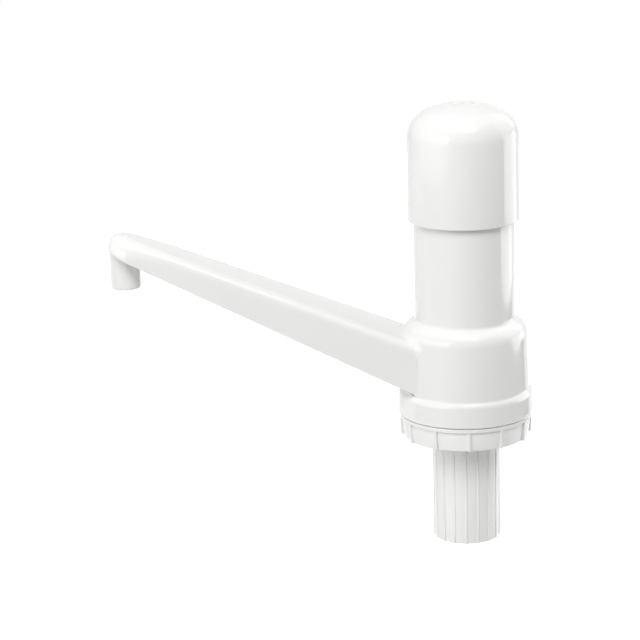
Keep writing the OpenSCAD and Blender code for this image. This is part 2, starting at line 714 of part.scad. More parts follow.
// Piston with two ring grooves, a socket for the stem and a groove for the spring
module piston() {
    ring_h = ring_d + 2 * seat_gap;
    color(natural) rotate_extrude() difference() {
        ring_profile(0, piston_r, piston_z, piston_top_z);
        for (ring_z = piston_ring_z)
            ring_profile(ring_seat_r, bore_r, ring_z - ring_h / 2, ring_z + ring_h / 2);
        ring_profile(0, stem_r + seat_gap, stem_z, piston_top_z + past);
        ring_profile(0, screw_d / 2 + run_gap, piston_z - past, piston_top_z);
        ring_profile(spring_r * cos(180 / spring_rings) - spring_wire / 2 - slide_gap,
                     spring_r + spring_wire / 2 + slide_gap, piston_z - past, piston_z + spring_groove);
    }
}

module piston_seals() {
    color(seal_black) rotate_extrude()
        for (ring_z = piston_ring_z)
            translate([bore_r - run_gap - ring_d / 2, ring_z]) circle(d = ring_d);
}

// Pan-head screw, driven from below
module piston_screw() {
    color(steel) difference() {
        rotate_extrude() {
            disc_profile(screw_head_d / 2, piston_z - screw_head_h, piston_z, screw_head_h / 2, run_gap);
            ring_profile(0, screw_d / 2, piston_z - past, piston_z + screw_h);
        }
        translate([0, 0, piston_z - screw_head_h])
            for (turn = [0, 90])
                rotate(turn) cube([screw_slot, screw_slot_w, screw_head_h], center = true);
    }
}

// Washer that lies in the nut's top and stays still while the nut turns
module slip_washer() {
    color(natural) rotate_extrude()
        ring_profile(washer_in_r, washer_out_r, -nut_gap - washer_t, -nut_gap);
}

// Ring nut: plain rim, panels that draw in downwards and upright ribs
module lid_nut() {
    low_z = -nut_gap - nut_h;
    rim_z = -nut_gap - nut_rim_h;
    color(white) {
        rotate_extrude() difference() {
            union() {
                ring_profile(0, nut_r, rim_z, -nut_gap);
                polygon([[0, low_z], [nut_low_d / 2, low_z], [nut_panel_d / 2, rim_z], [0, rim_z]]);
            }
            ring_profile(0, stub_r + slide_gap, low_z - past, 0);
            ring_profile(0, washer_out_r + slide_gap, nut_seat_z, 0);
        }
        ribs(nut_ribs, nut_rib_phase, nut_rib_w, (stub_r + nut_low_d / 2) / 2, nut_r, low_z, rim_z);
    }
}

body_shell();
spout_arm();
arm_floor();
nozzle_tube();
outlet_seat();
outlet_ball();
ball_stop_pin();
base_plug();
base_oring();
lid_gasket();
intake_tube();
inlet_cage();
inlet_ball();
barrel_collar();
return_spring();
push_cap();
plunger_stem();
piston();
piston_seals();
piston_screw();
slip_washer();
lid_nut();
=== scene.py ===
import math

import bmesh
import bpy
import numpy as np
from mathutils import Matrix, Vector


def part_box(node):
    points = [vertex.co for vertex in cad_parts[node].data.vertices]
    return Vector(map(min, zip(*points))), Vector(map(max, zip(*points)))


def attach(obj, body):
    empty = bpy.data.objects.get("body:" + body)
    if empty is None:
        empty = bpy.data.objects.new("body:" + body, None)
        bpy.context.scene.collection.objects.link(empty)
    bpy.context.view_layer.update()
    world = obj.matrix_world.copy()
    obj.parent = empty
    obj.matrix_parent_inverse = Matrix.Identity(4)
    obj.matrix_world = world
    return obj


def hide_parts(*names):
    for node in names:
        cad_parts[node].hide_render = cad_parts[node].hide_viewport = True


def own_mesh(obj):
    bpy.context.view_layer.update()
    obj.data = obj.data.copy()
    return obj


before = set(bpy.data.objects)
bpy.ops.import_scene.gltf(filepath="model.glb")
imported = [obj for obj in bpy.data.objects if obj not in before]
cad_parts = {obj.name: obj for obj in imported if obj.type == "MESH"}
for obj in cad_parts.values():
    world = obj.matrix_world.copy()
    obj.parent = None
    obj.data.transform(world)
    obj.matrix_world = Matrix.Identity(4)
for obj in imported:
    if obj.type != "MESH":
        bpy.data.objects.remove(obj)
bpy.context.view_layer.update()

import openvdb
from mathutils import Matrix, Vector

bl_info = {
    "name": "Bucket Dosing Pump",
    "version": (1, 0, 0),
    "blender": (4, 5, 0),
    "location": "View3D > Sidebar > Pump",
    "description": "Dresses the packed frame of a push-down bucket pump",
    "category": "Add Mesh",
}

MM = 0.001
# Segments of a turned piece, of a slim one and of a hole, and the angle above which one of its edges shows as an edge
TURN_STEPS, SLIM_STEPS, HOLE_STEPS = 160, 96, 64
EDGE_ANGLE = math.radians(32)
# Edges of the sampled body moulding and of a wire are rounded, so only their cuts and ends show as edges
CUT_ANGLE = math.radians(70)
WIRE_ANGLE = math.radians(60)
# How far a cutter reaches past the face that it opens
PAST = 1 * MM
# Roundings of moulded edges, from the sharpest up, and those of the nut's rim and the stub's end
KEEN, SHARP, EASED, SOFT = 0.2 * MM, 0.25 * MM, 0.3 * MM, 0.4 * MM
RIM_EDGE, STUB_ROUND = 0.45 * MM, 1 * MM
# Gaps from the barrel to the arm's channel, round the nozzle in its hole, round the inlet ball in its well, from the
# stub to the tube's ribs, and between the washer and the nut
CHANNEL_GAP, NOZZLE_PLAY, BALL_PLAY, RIB_GAP, RUN_GAP = 0.6 * MM, 0.1 * MM, 0.3 * MM, 0.3 * MM, 0.05 * MM
# Base plug: its wall, the bore and the ball of the inlet valve, and the foot of the cage that stands in it
PLUG_WALL, INLET_BORE_R, INLET_BALL_R, CAGE_FOOT_R = 2.5 * MM, 4.8 * MM, 7.5 * MM, 14.6 * MM
# The thread starts this far above the stub's end and is this much shorter than the stub. Points in a curl of it and
# of the spring
THREAD_START, THREAD_SHORT = 1.6 * MM, 2.4 * MM
THREAD_STEPS, SPRING_STEPS = 72, 64
# Finishes, and the record's slot for each
WHITE, NATURAL, RUBBER, STEEL = "polypropylene_white", "polyethylene_natural", "nitrile_rubber", "stainless_steel"
SLOTS = {WHITE: "white_gloss", NATURAL: "natural_plastic", RUBBER: "seal_rubber", STEEL: "stainless"}
# Point that the lamps face, how far off they stand, and the camera's direction from it
STAGE_MIDDLE = (-0.02, 0, 0.06)
LAMP_FAR = 1.2
CAMERA_SIDE = math.radians(-93.9)
# Soft boxes: degrees to the right of the camera and above the horizon, width and height in metres, and whether
# reflections show them. The stage's property of the same name is the radiance
LAMPS = {
    "top": (0, 88, (1.7, 1.7), True),
    "left": (-63, 8, (1.65, 0.8), True),
    "key": (-39, 17, (0.36, 0.4), True),
    "back": (114, -3, (0.95, 0.5), True),
    "rim": (119.5, 30, (1.25, 0.85), True),
    "front": (17, 54, (0.5, 0.42), True),
    "fill": (-10, 45, (1.4, 0.6), False),
    "side_fill": (75, 15, (0.9, 0.7), False),
}
FLOOR_HALF = 3.0
# How far off the grey card stands, and the angles that it reaches from, to and in steps of, to the right of the camera
CARD_FAR = 1.5
CARD_FROM, CARD_TO, CARD_STEP = -95, 135, 5


# Sizes and colours

def linear(code):
    """Linear RGB of an sRGB hex colour."""
    parts = [int(code[i:i + 2], 16) / 255 for i in (1, 3, 5)]
    return tuple(p / 12.92 if p <= 0.04045 else ((p + 0.055) / 1.055) ** 2.4 for p in parts)


def length(label, millimetres, note):
    """Property for a length, given in millimetres."""
    return bpy.props.FloatProperty(name=label, description=note, default=millimetres * MM, precision=5,
                                   unit="LENGTH", subtype="DISTANCE")


def slant(label, degrees, note):
    """Property for an angle, given in degrees."""
    return bpy.props.FloatProperty(name=label, description=note, default=math.radians(degrees),
                                   unit="ROTATION", subtype="ANGLE")


def foot_of(node):
    """Height of a CAD node's lowest point, in millimetres."""
    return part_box(node)[0].z / MM


def top_of(node):
    """Height of a CAD node's highest point, in millimetres."""
    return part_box(node)[1].z / MM


def number(label, amount, note):
    """Property for a count."""
    return bpy.props.IntProperty(name=label, description=note, default=amount, min=1)


def shade(label, code, note):
    """Property for a colour, given in sRGB hex."""
    return bpy.props.FloatVectorProperty(name=label, description=note, default=linear(code), size=3, min=0, max=1,
                                         subtype="COLOR")


def level(label, amount, note):
    """Property for a light's strength."""
    return bpy.props.FloatProperty(name=label, description=note, default=amount, min=0)


class PumpBodySizes(bpy.types.PropertyGroup):
    """Barrel, body and foot flange"""
    barrel_d: length("Barrel diameter", 45.2, "Outer diameter of the barrel")
    barrel_bore: length("Barrel bore", 40.4, "Bore that the piston runs in")
    barrel_top: length("Barrel top", top_of("body_shell"), "Height of the barrel's open end")
    barrel_chamfer: length("Barrel chamfer", 2, "Chamfer at the barrel's open end")
    sleeve_low: length("Sleeve end", 33.77, "Height of the barrel's lower end inside the body")
    shoulder_z: length("Shoulder height", 43.4, "Height of the shoulder under the barrel")
    shoulder_round: length("Shoulder rounding", 7, "Rounding of the shoulder's edge")
    barrel_fillet: length("Barrel fillet", 1.2, "Fillet between the barrel and the shoulder")
    foot_d: length("Body foot", 58, "Body diameter above the flange")
    top_d: length("Body top", 56.4, "Body diameter at the shoulder")
    wall: length("Body wall", 2.8, "Wall of the body")
    flange_d: length("Flange diameter", 61.3, "Diameter of the flange's lower edge")
    flange_h: length("Flange height", 12, "Height of the foot flange")
    flange_draft: length("Flange draft", 0.4, "How much the flange's radius shrinks to its top")
    flange_top_round: length("Flange upper rounding", 3, "Rounding of the flange's upper edge")
    flange_low_round: length("Flange lower rounding", 0.8, "Rounding of the flange's lower edge")
    flange_fillet: length("Flange fillet", 0.3, "Fillet between the flange and the body")
    plug_top: length("Plug seat", 10, "Height of the step that the plug seats against")
    plug_step: length("Plug step", 0.8, "Width of that step")


class PumpArmSizes(bpy.types.PropertyGroup):
    """Spout arm and nozzle"""
    reach: length("Reach", 152.0, "Distance from the pump's axis to the nozzle's")
    slope: slant("Slope", 26.33, "Rise of the arm's underside")
    step: length("Step", 0.0, "Step from the flange's top to the arm's underside")
    root_w: length("Root width", 36.2, "Width of the arm at the body")
    tip_w: length("Tip width", 22.8, "Width of the arm at the nozzle")
    root_h: length("Root height", 23.7, "Height of the arm at the body")
    tip_h: length("Tip height", 10.9, "Height of the arm at the nozzle")
    nose: length("Nose", 7.1, "Length of the arm past the nozzle's axis")
    root_round: length("Edge rounding", 4, "Rounding of the upper edges from the body on")
    tip_round: length("Tip rounding", 9.4, "Rounding of the upper edges at the tip")
    round_run: length("Rounding run", 26, "Distance before the nozzle at which the edges grow rounder")
    end_round: length("End rounding", 9.6, "Rounding of the arm's end, seen from above")
    floor_round: length("Floor strip rounding", 5.8, "Rounding of the end of the channel's floor, seen from above")
    low_round: length("Lower edge", 0.6, "Rounding of the arm's lower edges")
    side_fillet: length("Side fillet", 0.5, "Fillet between the arm's sides and the body")
    top_fillet: length("Top fillet", 3, "Fillet between the arm's top and the shoulder")
    fillet_run: length("Fillet run", 9, "Height below the arm's top over which the fillet grows")
    wall: length("Arm wall", 2.2, "Wall of the arm")
    nozzle_d: length("Nozzle diameter", 13.4, "Outer diameter of the nozzle")
    nozzle_bore: length("Nozzle bore", 10.4, "Bore of the nozzle's mouth")
    nozzle_bore_h: length("Nozzle bore depth", 8, "Depth of the mouth's bore")
    nozzle_inner: length("Nozzle inner bore", 9.2, "Bore above the mouth")
    nozzle_drop: length("Nozzle drop", 14.2, "Reach of the nozzle below the arm")
    nozzle_top: length("Nozzle top", 1.6, "Height of the nozzle's top above the arm's underside")
    nozzle_round: length("Nozzle edge", 0.9, "Rounding of the nozzle's lower edge")


class PumpCapSizes(bpy.types.PropertyGroup):
    """Push cap"""
    rim_z: length("Rim height", foot_of("push_cap"), "Height of the cap's rim at rest")
    top_z: length("Top height", 141.5, "Height of the cap's crown at rest")
    rim_d: length("Rim diameter", 50.1, "Outer diameter at the rim")
    side_d: length("Side diameter", 49.4, "Outer diameter below the dome")
    bore: length("Skirt bore", 45.8, "Inner diameter of the skirt")
    corner: length("Dome corner", 13.2, "Radius of the dome's corner, seen from the side")
    crown: length("Crown", 44, "Radius of the crown")
    dome_wall: length("Dome wall", 2.4, "Thickness of the dome")
    rim_round: length("Rim rounding", 0.5, "Rounding of the rim's edges")
    dimple_d: length("Dimple", 10, "Diameter of the dimple on the crown")
    dimple_depth: length("Dimple depth", 0.5, "Depth of the dimple")
    boss_bore: length("Boss bore", 18.2, "Bore of the boss that holds the stem")
    boss_d: length("Boss diameter", 22.6, "Outer diameter of that boss")
    boss_z: length("Boss end", 122.47, "Height of the boss's lower end")


class PumpClampSizes(bpy.types.PropertyGroup):
    """Base plug, lid gasket, slip washer and lid nut"""
    stub_d: length("Stub diameter", 42, "Diameter over the stub's thread")
    stub_h: length("Stub length", 11.5, "Length of the stub below the flange")
    thread_h: length("Thread height", 0.65, "Height of the stub's thread")
    thread_pitch: length("Thread pitch", 4, "Rise of the thread in one turn")
    plug_d: length("Plug diameter", 52.2, "Diameter of the plug in the body")
    plug_z: length("Plug underside", 1.2, "Height of the plug's underside")
    gasket_d: length("Gasket diameter", 51, "Outer diameter of the lid gasket")
    gasket_proud: length("Gasket proud", 0.3, "How far the gasket stands below the flange")
    washer_d: length("Washer diameter", 50.6, "Outer diameter of the slip washer")
    washer_t: length("Washer thickness", 1.4, "Thickness of the slip washer")
    bore_gap: length("Bore gap", 0.3, "Gap between the stub and what slides on it")
    nut_d: length("Nut diameter", 60.2, "Diameter of the nut over its ribs")
    nut_panel_d: length("Nut panels", 58.4, "Diameter of the panels under the rim")
    nut_low_d: length("Nut lower edge", 56.6, "Diameter of the panels at the lower edge")
    nut_h: length("Nut height", 10.3, "Height of the nut")
    nut_rim_h: length("Nut rim", 1.4, "Height of the nut's plain rim")
    nut_gap: length("Nut gap", 0.6, "Gap between the flange and the slip washer at rest")
    rim_gap: length("Rim gap", 0.3, "Gap between the flange and the nut's rim at rest")
    rib_count: number("Nut ribs", 12, "Ribs on the nut")
    rib_w: length("Nut rib width", 1.3, "Width of a rib on the nut")
    rib_taper: length("Nut rib taper", 0.5, "How far a rib is drawn in at its lower end")
    rib_phase: slant("Nut rib phase", 29, "Angle of the first rib")


class PumpTubeSizes(bpy.types.PropertyGroup):
    """Intake tube"""
    drop: length("Drop", 59.9, "Lower end of the tube below the flange")
    rib_d: length("Diameter over ribs", 30.6, "Diameter of the tube over its ribs")
    top_d: length("Wall at the stub", 30.4, "Diameter of the wall at the stub")
    low_d: length("Wall at the end", 29.8, "Diameter of the wall at the lower end")
    top_z: length("Top", -2.1, "Height of the tube's upper end in the stub")
    socket_d: length("Socket", 25, "Bore for a dip tube")
    socket_h: length("Socket depth", 30, "Depth of that bore")
    bore: length("Bore", 23.6, "Bore above the socket")
    edge: length("Edge", 0.35, "Rounding of the tube's lower edges")
    rib_count: number("Tube ribs", 17, "Ribs on the tube")
    rib_w: length("Tube rib width", 1, "Width of a rib on the tube")
    rib_phase: slant("Tube rib phase", 11.3, "Angle of the first rib")


class PumpInnerSizes(bpy.types.PropertyGroup):
    """Plunger, spring, seals and valves"""
    stem_d: length("Stem diameter", 18, "Diameter of the plunger's stem")
    stem_bore: length("Stem bore", 13, "Bore of the stem")
    stem_low: length("Stem foot", foot_of("plunger_stem"), "Height of the stem's lower end")
    stem_solid: length("Stem solid top", 94.27, "Height where the stem's bore starts")
    stem_top: length("Stem top", top_of("plunger_stem"), "Height of the stem's upper end")
    screw_bore: length("Screw bore", 4.1, "Bore for the piston screw")
    piston_d: length("Piston diameter", 39.8, "Diameter of the piston")
    piston_low: length("Piston underside", foot_of("piston"), "Height of the piston's underside")
    piston_top: length("Piston top", top_of("piston"), "Height of the piston's top")
    ring_d: length("Piston ring section", 2.2, "Section of a piston ring")
    ring_gap: length("Ring gap", 0.05, "Running gap between a ring and the barrel")
    seat_gap: length("Seat gap", 0.1, "Gap between pieces that are pushed together")
    collar_web: length("Collar web", 2.6, "Thickness of the barrel collar's walls")
    collar_low: length("Collar underside", foot_of("barrel_collar"), "Height of the collar's underside")
    collar_lip: length("Collar lip", 1, "Thickness of the collar's lip")
    spring_d: length("Spring diameter", 27, "Mean diameter of the return spring")
    spring_wire: length("Spring wire", 1.6, "Wire of the return spring")
    spring_low: length("Spring lower end", foot_of("return_spring"), "Height of the spring's lower end")
    spring_top: length("Spring upper end", top_of("return_spring"), "Height of the spring's upper end at rest")
    spring_close: length("Spring end pitch", 2.1, "Rise of the close curl at either end")
    spring_turns: number("Spring curls", 9, "Curls of the return spring")
    stroke: length("Stroke", 36, "Stroke of the plunger")
    oring_d: length("O-ring section", 2.3, "Section of the plug's O-ring")
    oring_z: length("O-ring height", 7.5, "Height of the plug's O-ring")


class PumpFinishes(bpy.types.PropertyGroup):
    """Colours"""
    white: shade("White plastic", "#f2f2f1", "Glossy white of the outer mouldings")
    white_low: shade("White plastic, deeper", "#eeeeec", "Where the white runs a little thicker")
    natural: shade("Natural plastic", "#e4e3dc", "Undyed plastic of the inner pieces")
    natural_low: shade("Natural plastic, deeper", "#d9d7cd", "Where the undyed plastic is thicker")
    rubber: shade("Rubber", "#232324", "Black of the seals")
    rubber_low: shade("Rubber, dusty", "#323233", "Greyer patches of the seals")
    steel: shade("Steel", "#c3c5c7", "Ground or drawn stainless steel")
    steel_low: shade("Steel, darker", "#b1b4b7", "Darker draw lines of the steel")
    floor: shade("Floor", "#e6e6e6", "Pale floor")
    card: shade("Grey card", "#404040", "Card round the camera's side")


class PumpStage(bpy.types.PropertyGroup):
    """Camera, light and floor"""
    eye: bpy.props.FloatVectorProperty(name="Camera place", description="Where the camera stands", size=3,
                                       default=(-0.0654, -0.9595, 0.3012), subtype="TRANSLATION", unit="LENGTH")
    pitch: slant("Pitch", 15, "How far the camera looks down")
    roll: slant("Roll", -1.61, "Turn of the camera about its line of sight")
    lens: bpy.props.FloatProperty(name="Lens", description="Focal length on a 36 mm sensor", default=123.75,
                                  subtype="DISTANCE_CAMERA")
    floor_drop: length("Floor drop", 450, "Floor below the lid, about the height of a large bucket")
    card_top: length("Card top", 1800, "Height of the grey card's upper edge above the lid")
    sky: level("Room light", 0.22, "Even light from all round")
    top: level("Top light", 0.25, "Radiance of the wide soft box overhead")
    left: level("Left light", 1.35, "Radiance of the wide soft box on the left")
    key: level("Key light", 3.0, "Radiance of the small soft box on the left")
    back: level("Back light", 3.0, "Radiance of the low soft box on the right, behind")
    rim: level("Rim light", 1.5, "Radiance of the soft box above that one")
    front: level("Front light", 2.8, "Radiance of the small soft box above the camera")
    fill: level("Fill light", 3.9, "Radiance of the wide fill above the camera")
    side_fill: level("Side fill light", 0.5, "Radiance of the fill on the right")


# Shared makers

def put(name, data):
    """New object in the scene."""
    thing = bpy.data.objects.new(name, data)
    bpy.context.scene.collection.objects.link(thing)
    return thing


def plain_mesh(name, points, edges=(), faces=()):
    """New mesh of points with their edges or faces."""
    mesh = bpy.data.meshes.new(name)
    mesh.from_pydata(points, edges, faces)
    return mesh


def mesh_of(name, made):
    """New mesh of what a bmesh holds, which is then freed."""
    mesh = bpy.data.meshes.new(name)
    made.to_mesh(mesh)
    made.free()
    return mesh


def turn_outline(corners, steps=8):
    """Closed outline through corners (radius, height, rounding), each rounding drawn as an arc."""
    points = []
    for i, (r, z, rounding) in enumerate(corners):
        here = Vector((r, z))
        if rounding <= 0:
            points.append(here)
            continue
        back = (Vector(corners[i - 1][:2]) - here).normalized()
        ahead = (Vector(corners[(i + 1) % len(corners)][:2]) - here).normalized()
        half = back.angle(ahead) / 2
        centre = here + (back + ahead).normalized() * rounding / math.sin(half)
        first = here + back * rounding / math.tan(half) - centre
        last = here + ahead * rounding / math.tan(half) - centre
        start = math.atan2(first.y, first.x)
        sweep = math.remainder(math.atan2(last.y, last.x) - start, math.tau)
        for k in range(steps + 1):
            a = start + sweep * k / steps
            points.append(centre + rounding * Vector((math.cos(a), math.sin(a))))
    return points


def turned_mesh(name, outline, steps=TURN_STEPS):
    """Mesh of a closed outline in (radius, height) turned about Z. Points on the axis become poles."""
    area = sum(a[0] * b[1] - b[0] * a[1] for a, b in zip(outline, outline[1:] + outline[:1]))
    if area < 0:
        outline = outline[::-1]
    points, rings = [], []
    for r, z in outline:
        if r < 1e-7:
            rings.append([len(points)] * steps)
            points.append((0, 0, z))
            continue
        rings.append(list(range(len(points), len(points) + steps)))
        points += [(r * math.cos(math.tau * k / steps), r * math.sin(math.tau * k / steps), z) for k in range(steps)]
    faces = []
    for low, high in zip(rings, rings[1:] + rings[:1]):
        for k in range(steps):
            n = (k + 1) % steps
            corners = list(dict.fromkeys((low[k], low[n], high[n], high[k])))
            if len(corners) > 2:
                faces.append(corners)
    mesh = plain_mesh(name, points, faces=faces)
    mesh.validate()
    return mesh


def smooth(mesh, angle=EDGE_ANGLE):
    """Shades a mesh smooth, apart from edges sharper than an angle."""
    mesh.shade_smooth()
    mesh.set_sharp_from_angle(angle=angle)
    return mesh


def block_mesh(name, low, high, bevel=0.0):
    """Box between two corners, with bevelled edges."""
    made = bmesh.new()
    bmesh.ops.create_cube(made, size=1)
    size, middle = Vector(high) - Vector(low), (Vector(high) + Vector(low)) / 2
    bmesh.ops.transform(made, verts=made.verts, matrix=Matrix.LocRotScale(middle, None, size))
    if bevel > 0:
        bmesh.ops.bevel(made, geom=made.edges[:], offset=bevel, segments=3, profile=0.5, affect="EDGES")
    return mesh_of(name, made)


def baked_mesh(thing, name):
    """Plain mesh of an object with its modifiers, which are then removed with it."""
    graph = bpy.context.evaluated_depsgraph_get()
    mesh = bpy.data.meshes.new_from_object(thing.evaluated_get(graph))
    mesh.name = name
    bpy.data.objects.remove(thing)
    return mesh


def check_closed(mesh):
    """Stops the script at a mesh that isn't a closed skin, which a Boolean would leave out without a word."""
    made = bmesh.new()
    made.from_mesh(mesh)
    closed = all(edge.is_manifold for edge in made.edges)
    made.free()
    if not closed:
        raise RuntimeError(f"{mesh.name} isn't closed")


def carved(name, mesh, tools, operation="DIFFERENCE"):
    """Mesh after cutting away, or joining on, the tool meshes one by one."""
    for each in (mesh, *tools):
        check_closed(each)
    thing = put(name, mesh)
    helpers = [put(name + "_tool", tool) for tool in tools]
    for helper in helpers:
        step = thing.modifiers.new("tool", "BOOLEAN")
        step.solver = "MANIFOLD"
        step.operation = operation
        step.object = helper
    made = baked_mesh(thing, name)
    for helper in helpers:
        bpy.data.objects.remove(helper)
    if not made.polygons:
        raise RuntimeError(f"{name} came out empty")
    return made


def add_node(tree, kind, sockets=None, **settings):
    """Adds a node and gives its outputs. A socket's value is a constant, or the output that is linked to it."""
    node = tree.nodes.new(kind)
    for key, value in settings.items():
        setattr(node, key, value)
    for key, value in (sockets or {}).items():
        if isinstance(value, bpy.types.NodeSocket):
            tree.links.new(value, node.inputs[key])
        else:
            node.inputs[key].default_value = value
    return node.outputs


def make_piece(name, mesh, look, body, *nodes):
    """Puts a finished mesh in the scene on its body, standing for CAD nodes."""
    mesh.materials.clear()
    mesh.materials.append(finish(look))
    thing, slot = put(name, mesh), SLOTS[look]
    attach(thing, body)
    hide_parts(*nodes)
    return thing


def turned_piece(name, corners, look, body, node, steps=TURN_STEPS):
    """Makes a turned piece from the corners of its outline."""
    make_piece(name, smooth(turned_mesh(name, turn_outline(corners, 4), steps)), look, body, node)


def dress(node, name):
    """Gives a CAD node's object a finish."""
    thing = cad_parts[node]
    thing.data.materials.clear()
    thing.data.materials.append(finish(name))


# Node trees for what repeats or follows a path

def node_group(name, inputs):
    """Geometry Nodes tree with named inputs next to its geometry and material, and the outputs of its input node."""
    tree = bpy.data.node_groups.new(name, "GeometryNodeTree")
    for label, kind in (("Geometry", "Geometry"), *inputs, ("Material", "Material")):
        tree.interface.new_socket(label, in_out="INPUT", socket_type="NodeSocket" + kind)
    tree.interface.new_socket("Geometry", in_out="OUTPUT", socket_type="NodeSocketGeometry")
    return tree, add_node(tree, "NodeGroupInput")


def close_tree(tree, shape, material):
    """Ends a tree in real geometry with its material."""
    solid = add_node(tree, "GeometryNodeRealizeInstances", {"Geometry": shape})[0]
    dressed = add_node(tree, "GeometryNodeSetMaterial", {"Geometry": solid, "Material": material})[0]
    add_node(tree, "NodeGroupOutput", {"Geometry": dressed})
    return tree


def rib_ring_tree():
    """Repeats one rib round the Z axis."""
    tree, given = node_group("Rib Ring", [("Count", "Int"), ("Phase", "Float")])
    index = add_node(tree, "GeometryNodeInputIndex")["Index"]
    step = add_node(tree, "ShaderNodeMath", {0: math.tau, 1: given["Count"]}, operation="DIVIDE")[0]
    turn = add_node(tree, "ShaderNodeMath", {0: index, 1: step, 2: given["Phase"]}, operation="MULTIPLY_ADD")[0]
    spin = add_node(tree, "ShaderNodeCombineXYZ", {"Z": turn})[0]
    points = add_node(tree, "GeometryNodePoints", {"Count": given["Count"]})[0]
    copies = add_node(tree, "GeometryNodeInstanceOnPoints",
                      {"Points": points, "Instance": given["Geometry"], "Rotation": spin})[0]
    return close_tree(tree, copies, given["Material"])


def wire_tree():
    """Draws a round wire along a path of edges, thinning out at its ends."""
    tree, given = node_group("Wire On Path", [("Wire Radius", "Float"), ("Sides", "Int"), ("Run Out", "Float")])
    path = add_node(tree, "GeometryNodeMeshToCurve", {"Mesh": given["Geometry"]})[0]
    along = add_node(tree, "GeometryNodeSplineParameter")["Factor"]
    rest = add_node(tree, "ShaderNodeMath", {0: 1.0, 1: along}, operation="SUBTRACT")[0]
    near = add_node(tree, "ShaderNodeMath", {0: along, 1: rest}, operation="MINIMUM")[0]
    fade = add_node(tree, "ShaderNodeMapRange", {"Value": near, "From Max": given["Run Out"], "To Min": 0.05})[0]
    ring = add_node(tree, "GeometryNodeCurvePrimitiveCircle",
                    {"Resolution": given["Sides"], "Radius": given["Wire Radius"]})[0]
    wire = add_node(tree, "GeometryNodeCurveToMesh",
                    {"Curve": path, "Profile Curve": ring, "Scale": fade, "Fill Caps": True})[0]
    return close_tree(tree, wire, given["Material"])


def run_tree(name, mesh, tree, look, values):
    """Plain mesh that a node tree makes of a mesh, with its finish and its named inputs set."""
    thing, values = put(name, mesh), {**values, "Material": finish(look)}
    step = thing.modifiers.new("nodes", "NODES")
    step.node_group = tree
    for socket in tree.interface.items_tree:
        if socket.in_out == "INPUT" and socket.name in values:
            step[socket.identifier] = values[socket.name]
    return baked_mesh(thing, name)


def rib_ring(name, rib, sizes):
    """Mesh of the ring of ribs on the nut or the tube."""
    return run_tree(name, rib, rib_ring_tree(), WHITE, {"Count": sizes.rib_count, "Phase": sizes.rib_phase})


def wound_wire(name, radius, turns, heights, look, wire, sides, run_out):
    """Mesh of a wire wound about Z, through the given turns and heights."""
    path = [(radius * math.cos(math.tau * t), radius * math.sin(math.tau * t), z) for t, z in zip(turns, heights)]
    steps = plain_mesh(name + "_path", path, [(i, i + 1) for i in range(len(path) - 1)])
    mesh = run_tree(name, steps, wire_tree(), look, {"Wire Radius": wire, "Sides": sides, "Run Out": run_out})
    return smooth(mesh, WIRE_ANGLE)


# Materials

def cloudy(tree, patch_mm, colours, gloss, grain_mm, bump):
    """Links soft patches of colour and gloss, and a fine surface grain, to a material's shader."""
    place = add_node(tree, "ShaderNodeTexCoord")["Object"]
    patches = add_node(tree, "ShaderNodeTexNoise",
                       {"Vector": place, "Scale": 1 / (patch_mm * MM), "Detail": 3.0})["Fac"]
    tone = add_node(tree, "ShaderNodeMix", {"Factor": patches, "A": (*colours[0], 1), "B": (*colours[1], 1)},
                    data_type="RGBA")["Result"]
    rough = add_node(tree, "ShaderNodeMapRange", {"Value": patches, "From Min": 0.3, "From Max": 0.7,
                                                  "To Min": gloss[0], "To Max": gloss[1]})[0]
    grain = add_node(tree, "ShaderNodeTexNoise",
                     {"Vector": place, "Scale": 1 / (grain_mm * MM), "Detail": 2.0})["Fac"]
    relief = add_node(tree, "ShaderNodeBump", {"Height": grain, "Strength": bump, "Distance": 0.05 * MM})[0]
    for key, value in (("Base Color", tone), ("Roughness", rough), ("Normal", relief)):
        tree.links.new(value, tree.nodes["Principled BSDF"].inputs[key])


def finish(name):
    """Material of that name, made the first time that it is asked for."""
    if name in bpy.data.materials:
        return bpy.data.materials[name]
    paint = bpy.context.scene.pump_finishes
    material = bpy.data.materials.new(name)
    material.use_nodes = True
    tree = material.node_tree
    shader = tree.nodes["Principled BSDF"].inputs
    if name == WHITE:
        # Polished mould: clear reflections with a slight waviness, and an even, faintly cloudy white
        shader["IOR"].default_value = 1.49
        cloudy(tree, 22, (paint.white, paint.white_low), (0.05, 0.08), 3.0, 0.04)
    elif name == NATURAL:
        # Undyed and waxy: broad soft highlights and a milky, uneven tone
        shader["IOR"].default_value = 1.51
        shader["Subsurface Weight"].default_value = 0.1
        shader["Subsurface Radius"].default_value = (2 * MM, 1.8 * MM, 1.4 * MM)
        cloudy(tree, 9, (paint.natural, paint.natural_low), (0.36, 0.5), 0.8, 0.15)
    elif name == RUBBER:
        # Moulded rubber: dull black with dusty patches and a fine grain
        shader["IOR"].default_value = 1.52
        cloudy(tree, 5, (paint.rubber, paint.rubber_low), (0.58, 0.75), 0.35, 0.4)
    elif name == STEEL:
        # Drawn wire and ground balls: bright grey with short patches of duller metal
        shader["Metallic"].default_value = 1.0
        cloudy(tree, 1.6, (paint.steel, paint.steel_low), (0.18, 0.34), 0.25, 0.2)
    else:
        raise RuntimeError(f"no finish is called {name}")
    return material


# Outer mouldings

def shared(a, b, rounding):
    """Signed distance to the space that two shapes share, with the edge between them rounded."""
    over = np.hypot(np.maximum(a + rounding, 0), np.maximum(b + rounding, 0))
    return np.minimum(np.maximum(a, b) + rounding, 0) + over - rounding


def joined(a, b, fillet):
    """Signed distance to two shapes together, with a fillet between them."""
    return -shared(-a, -b, fillet)


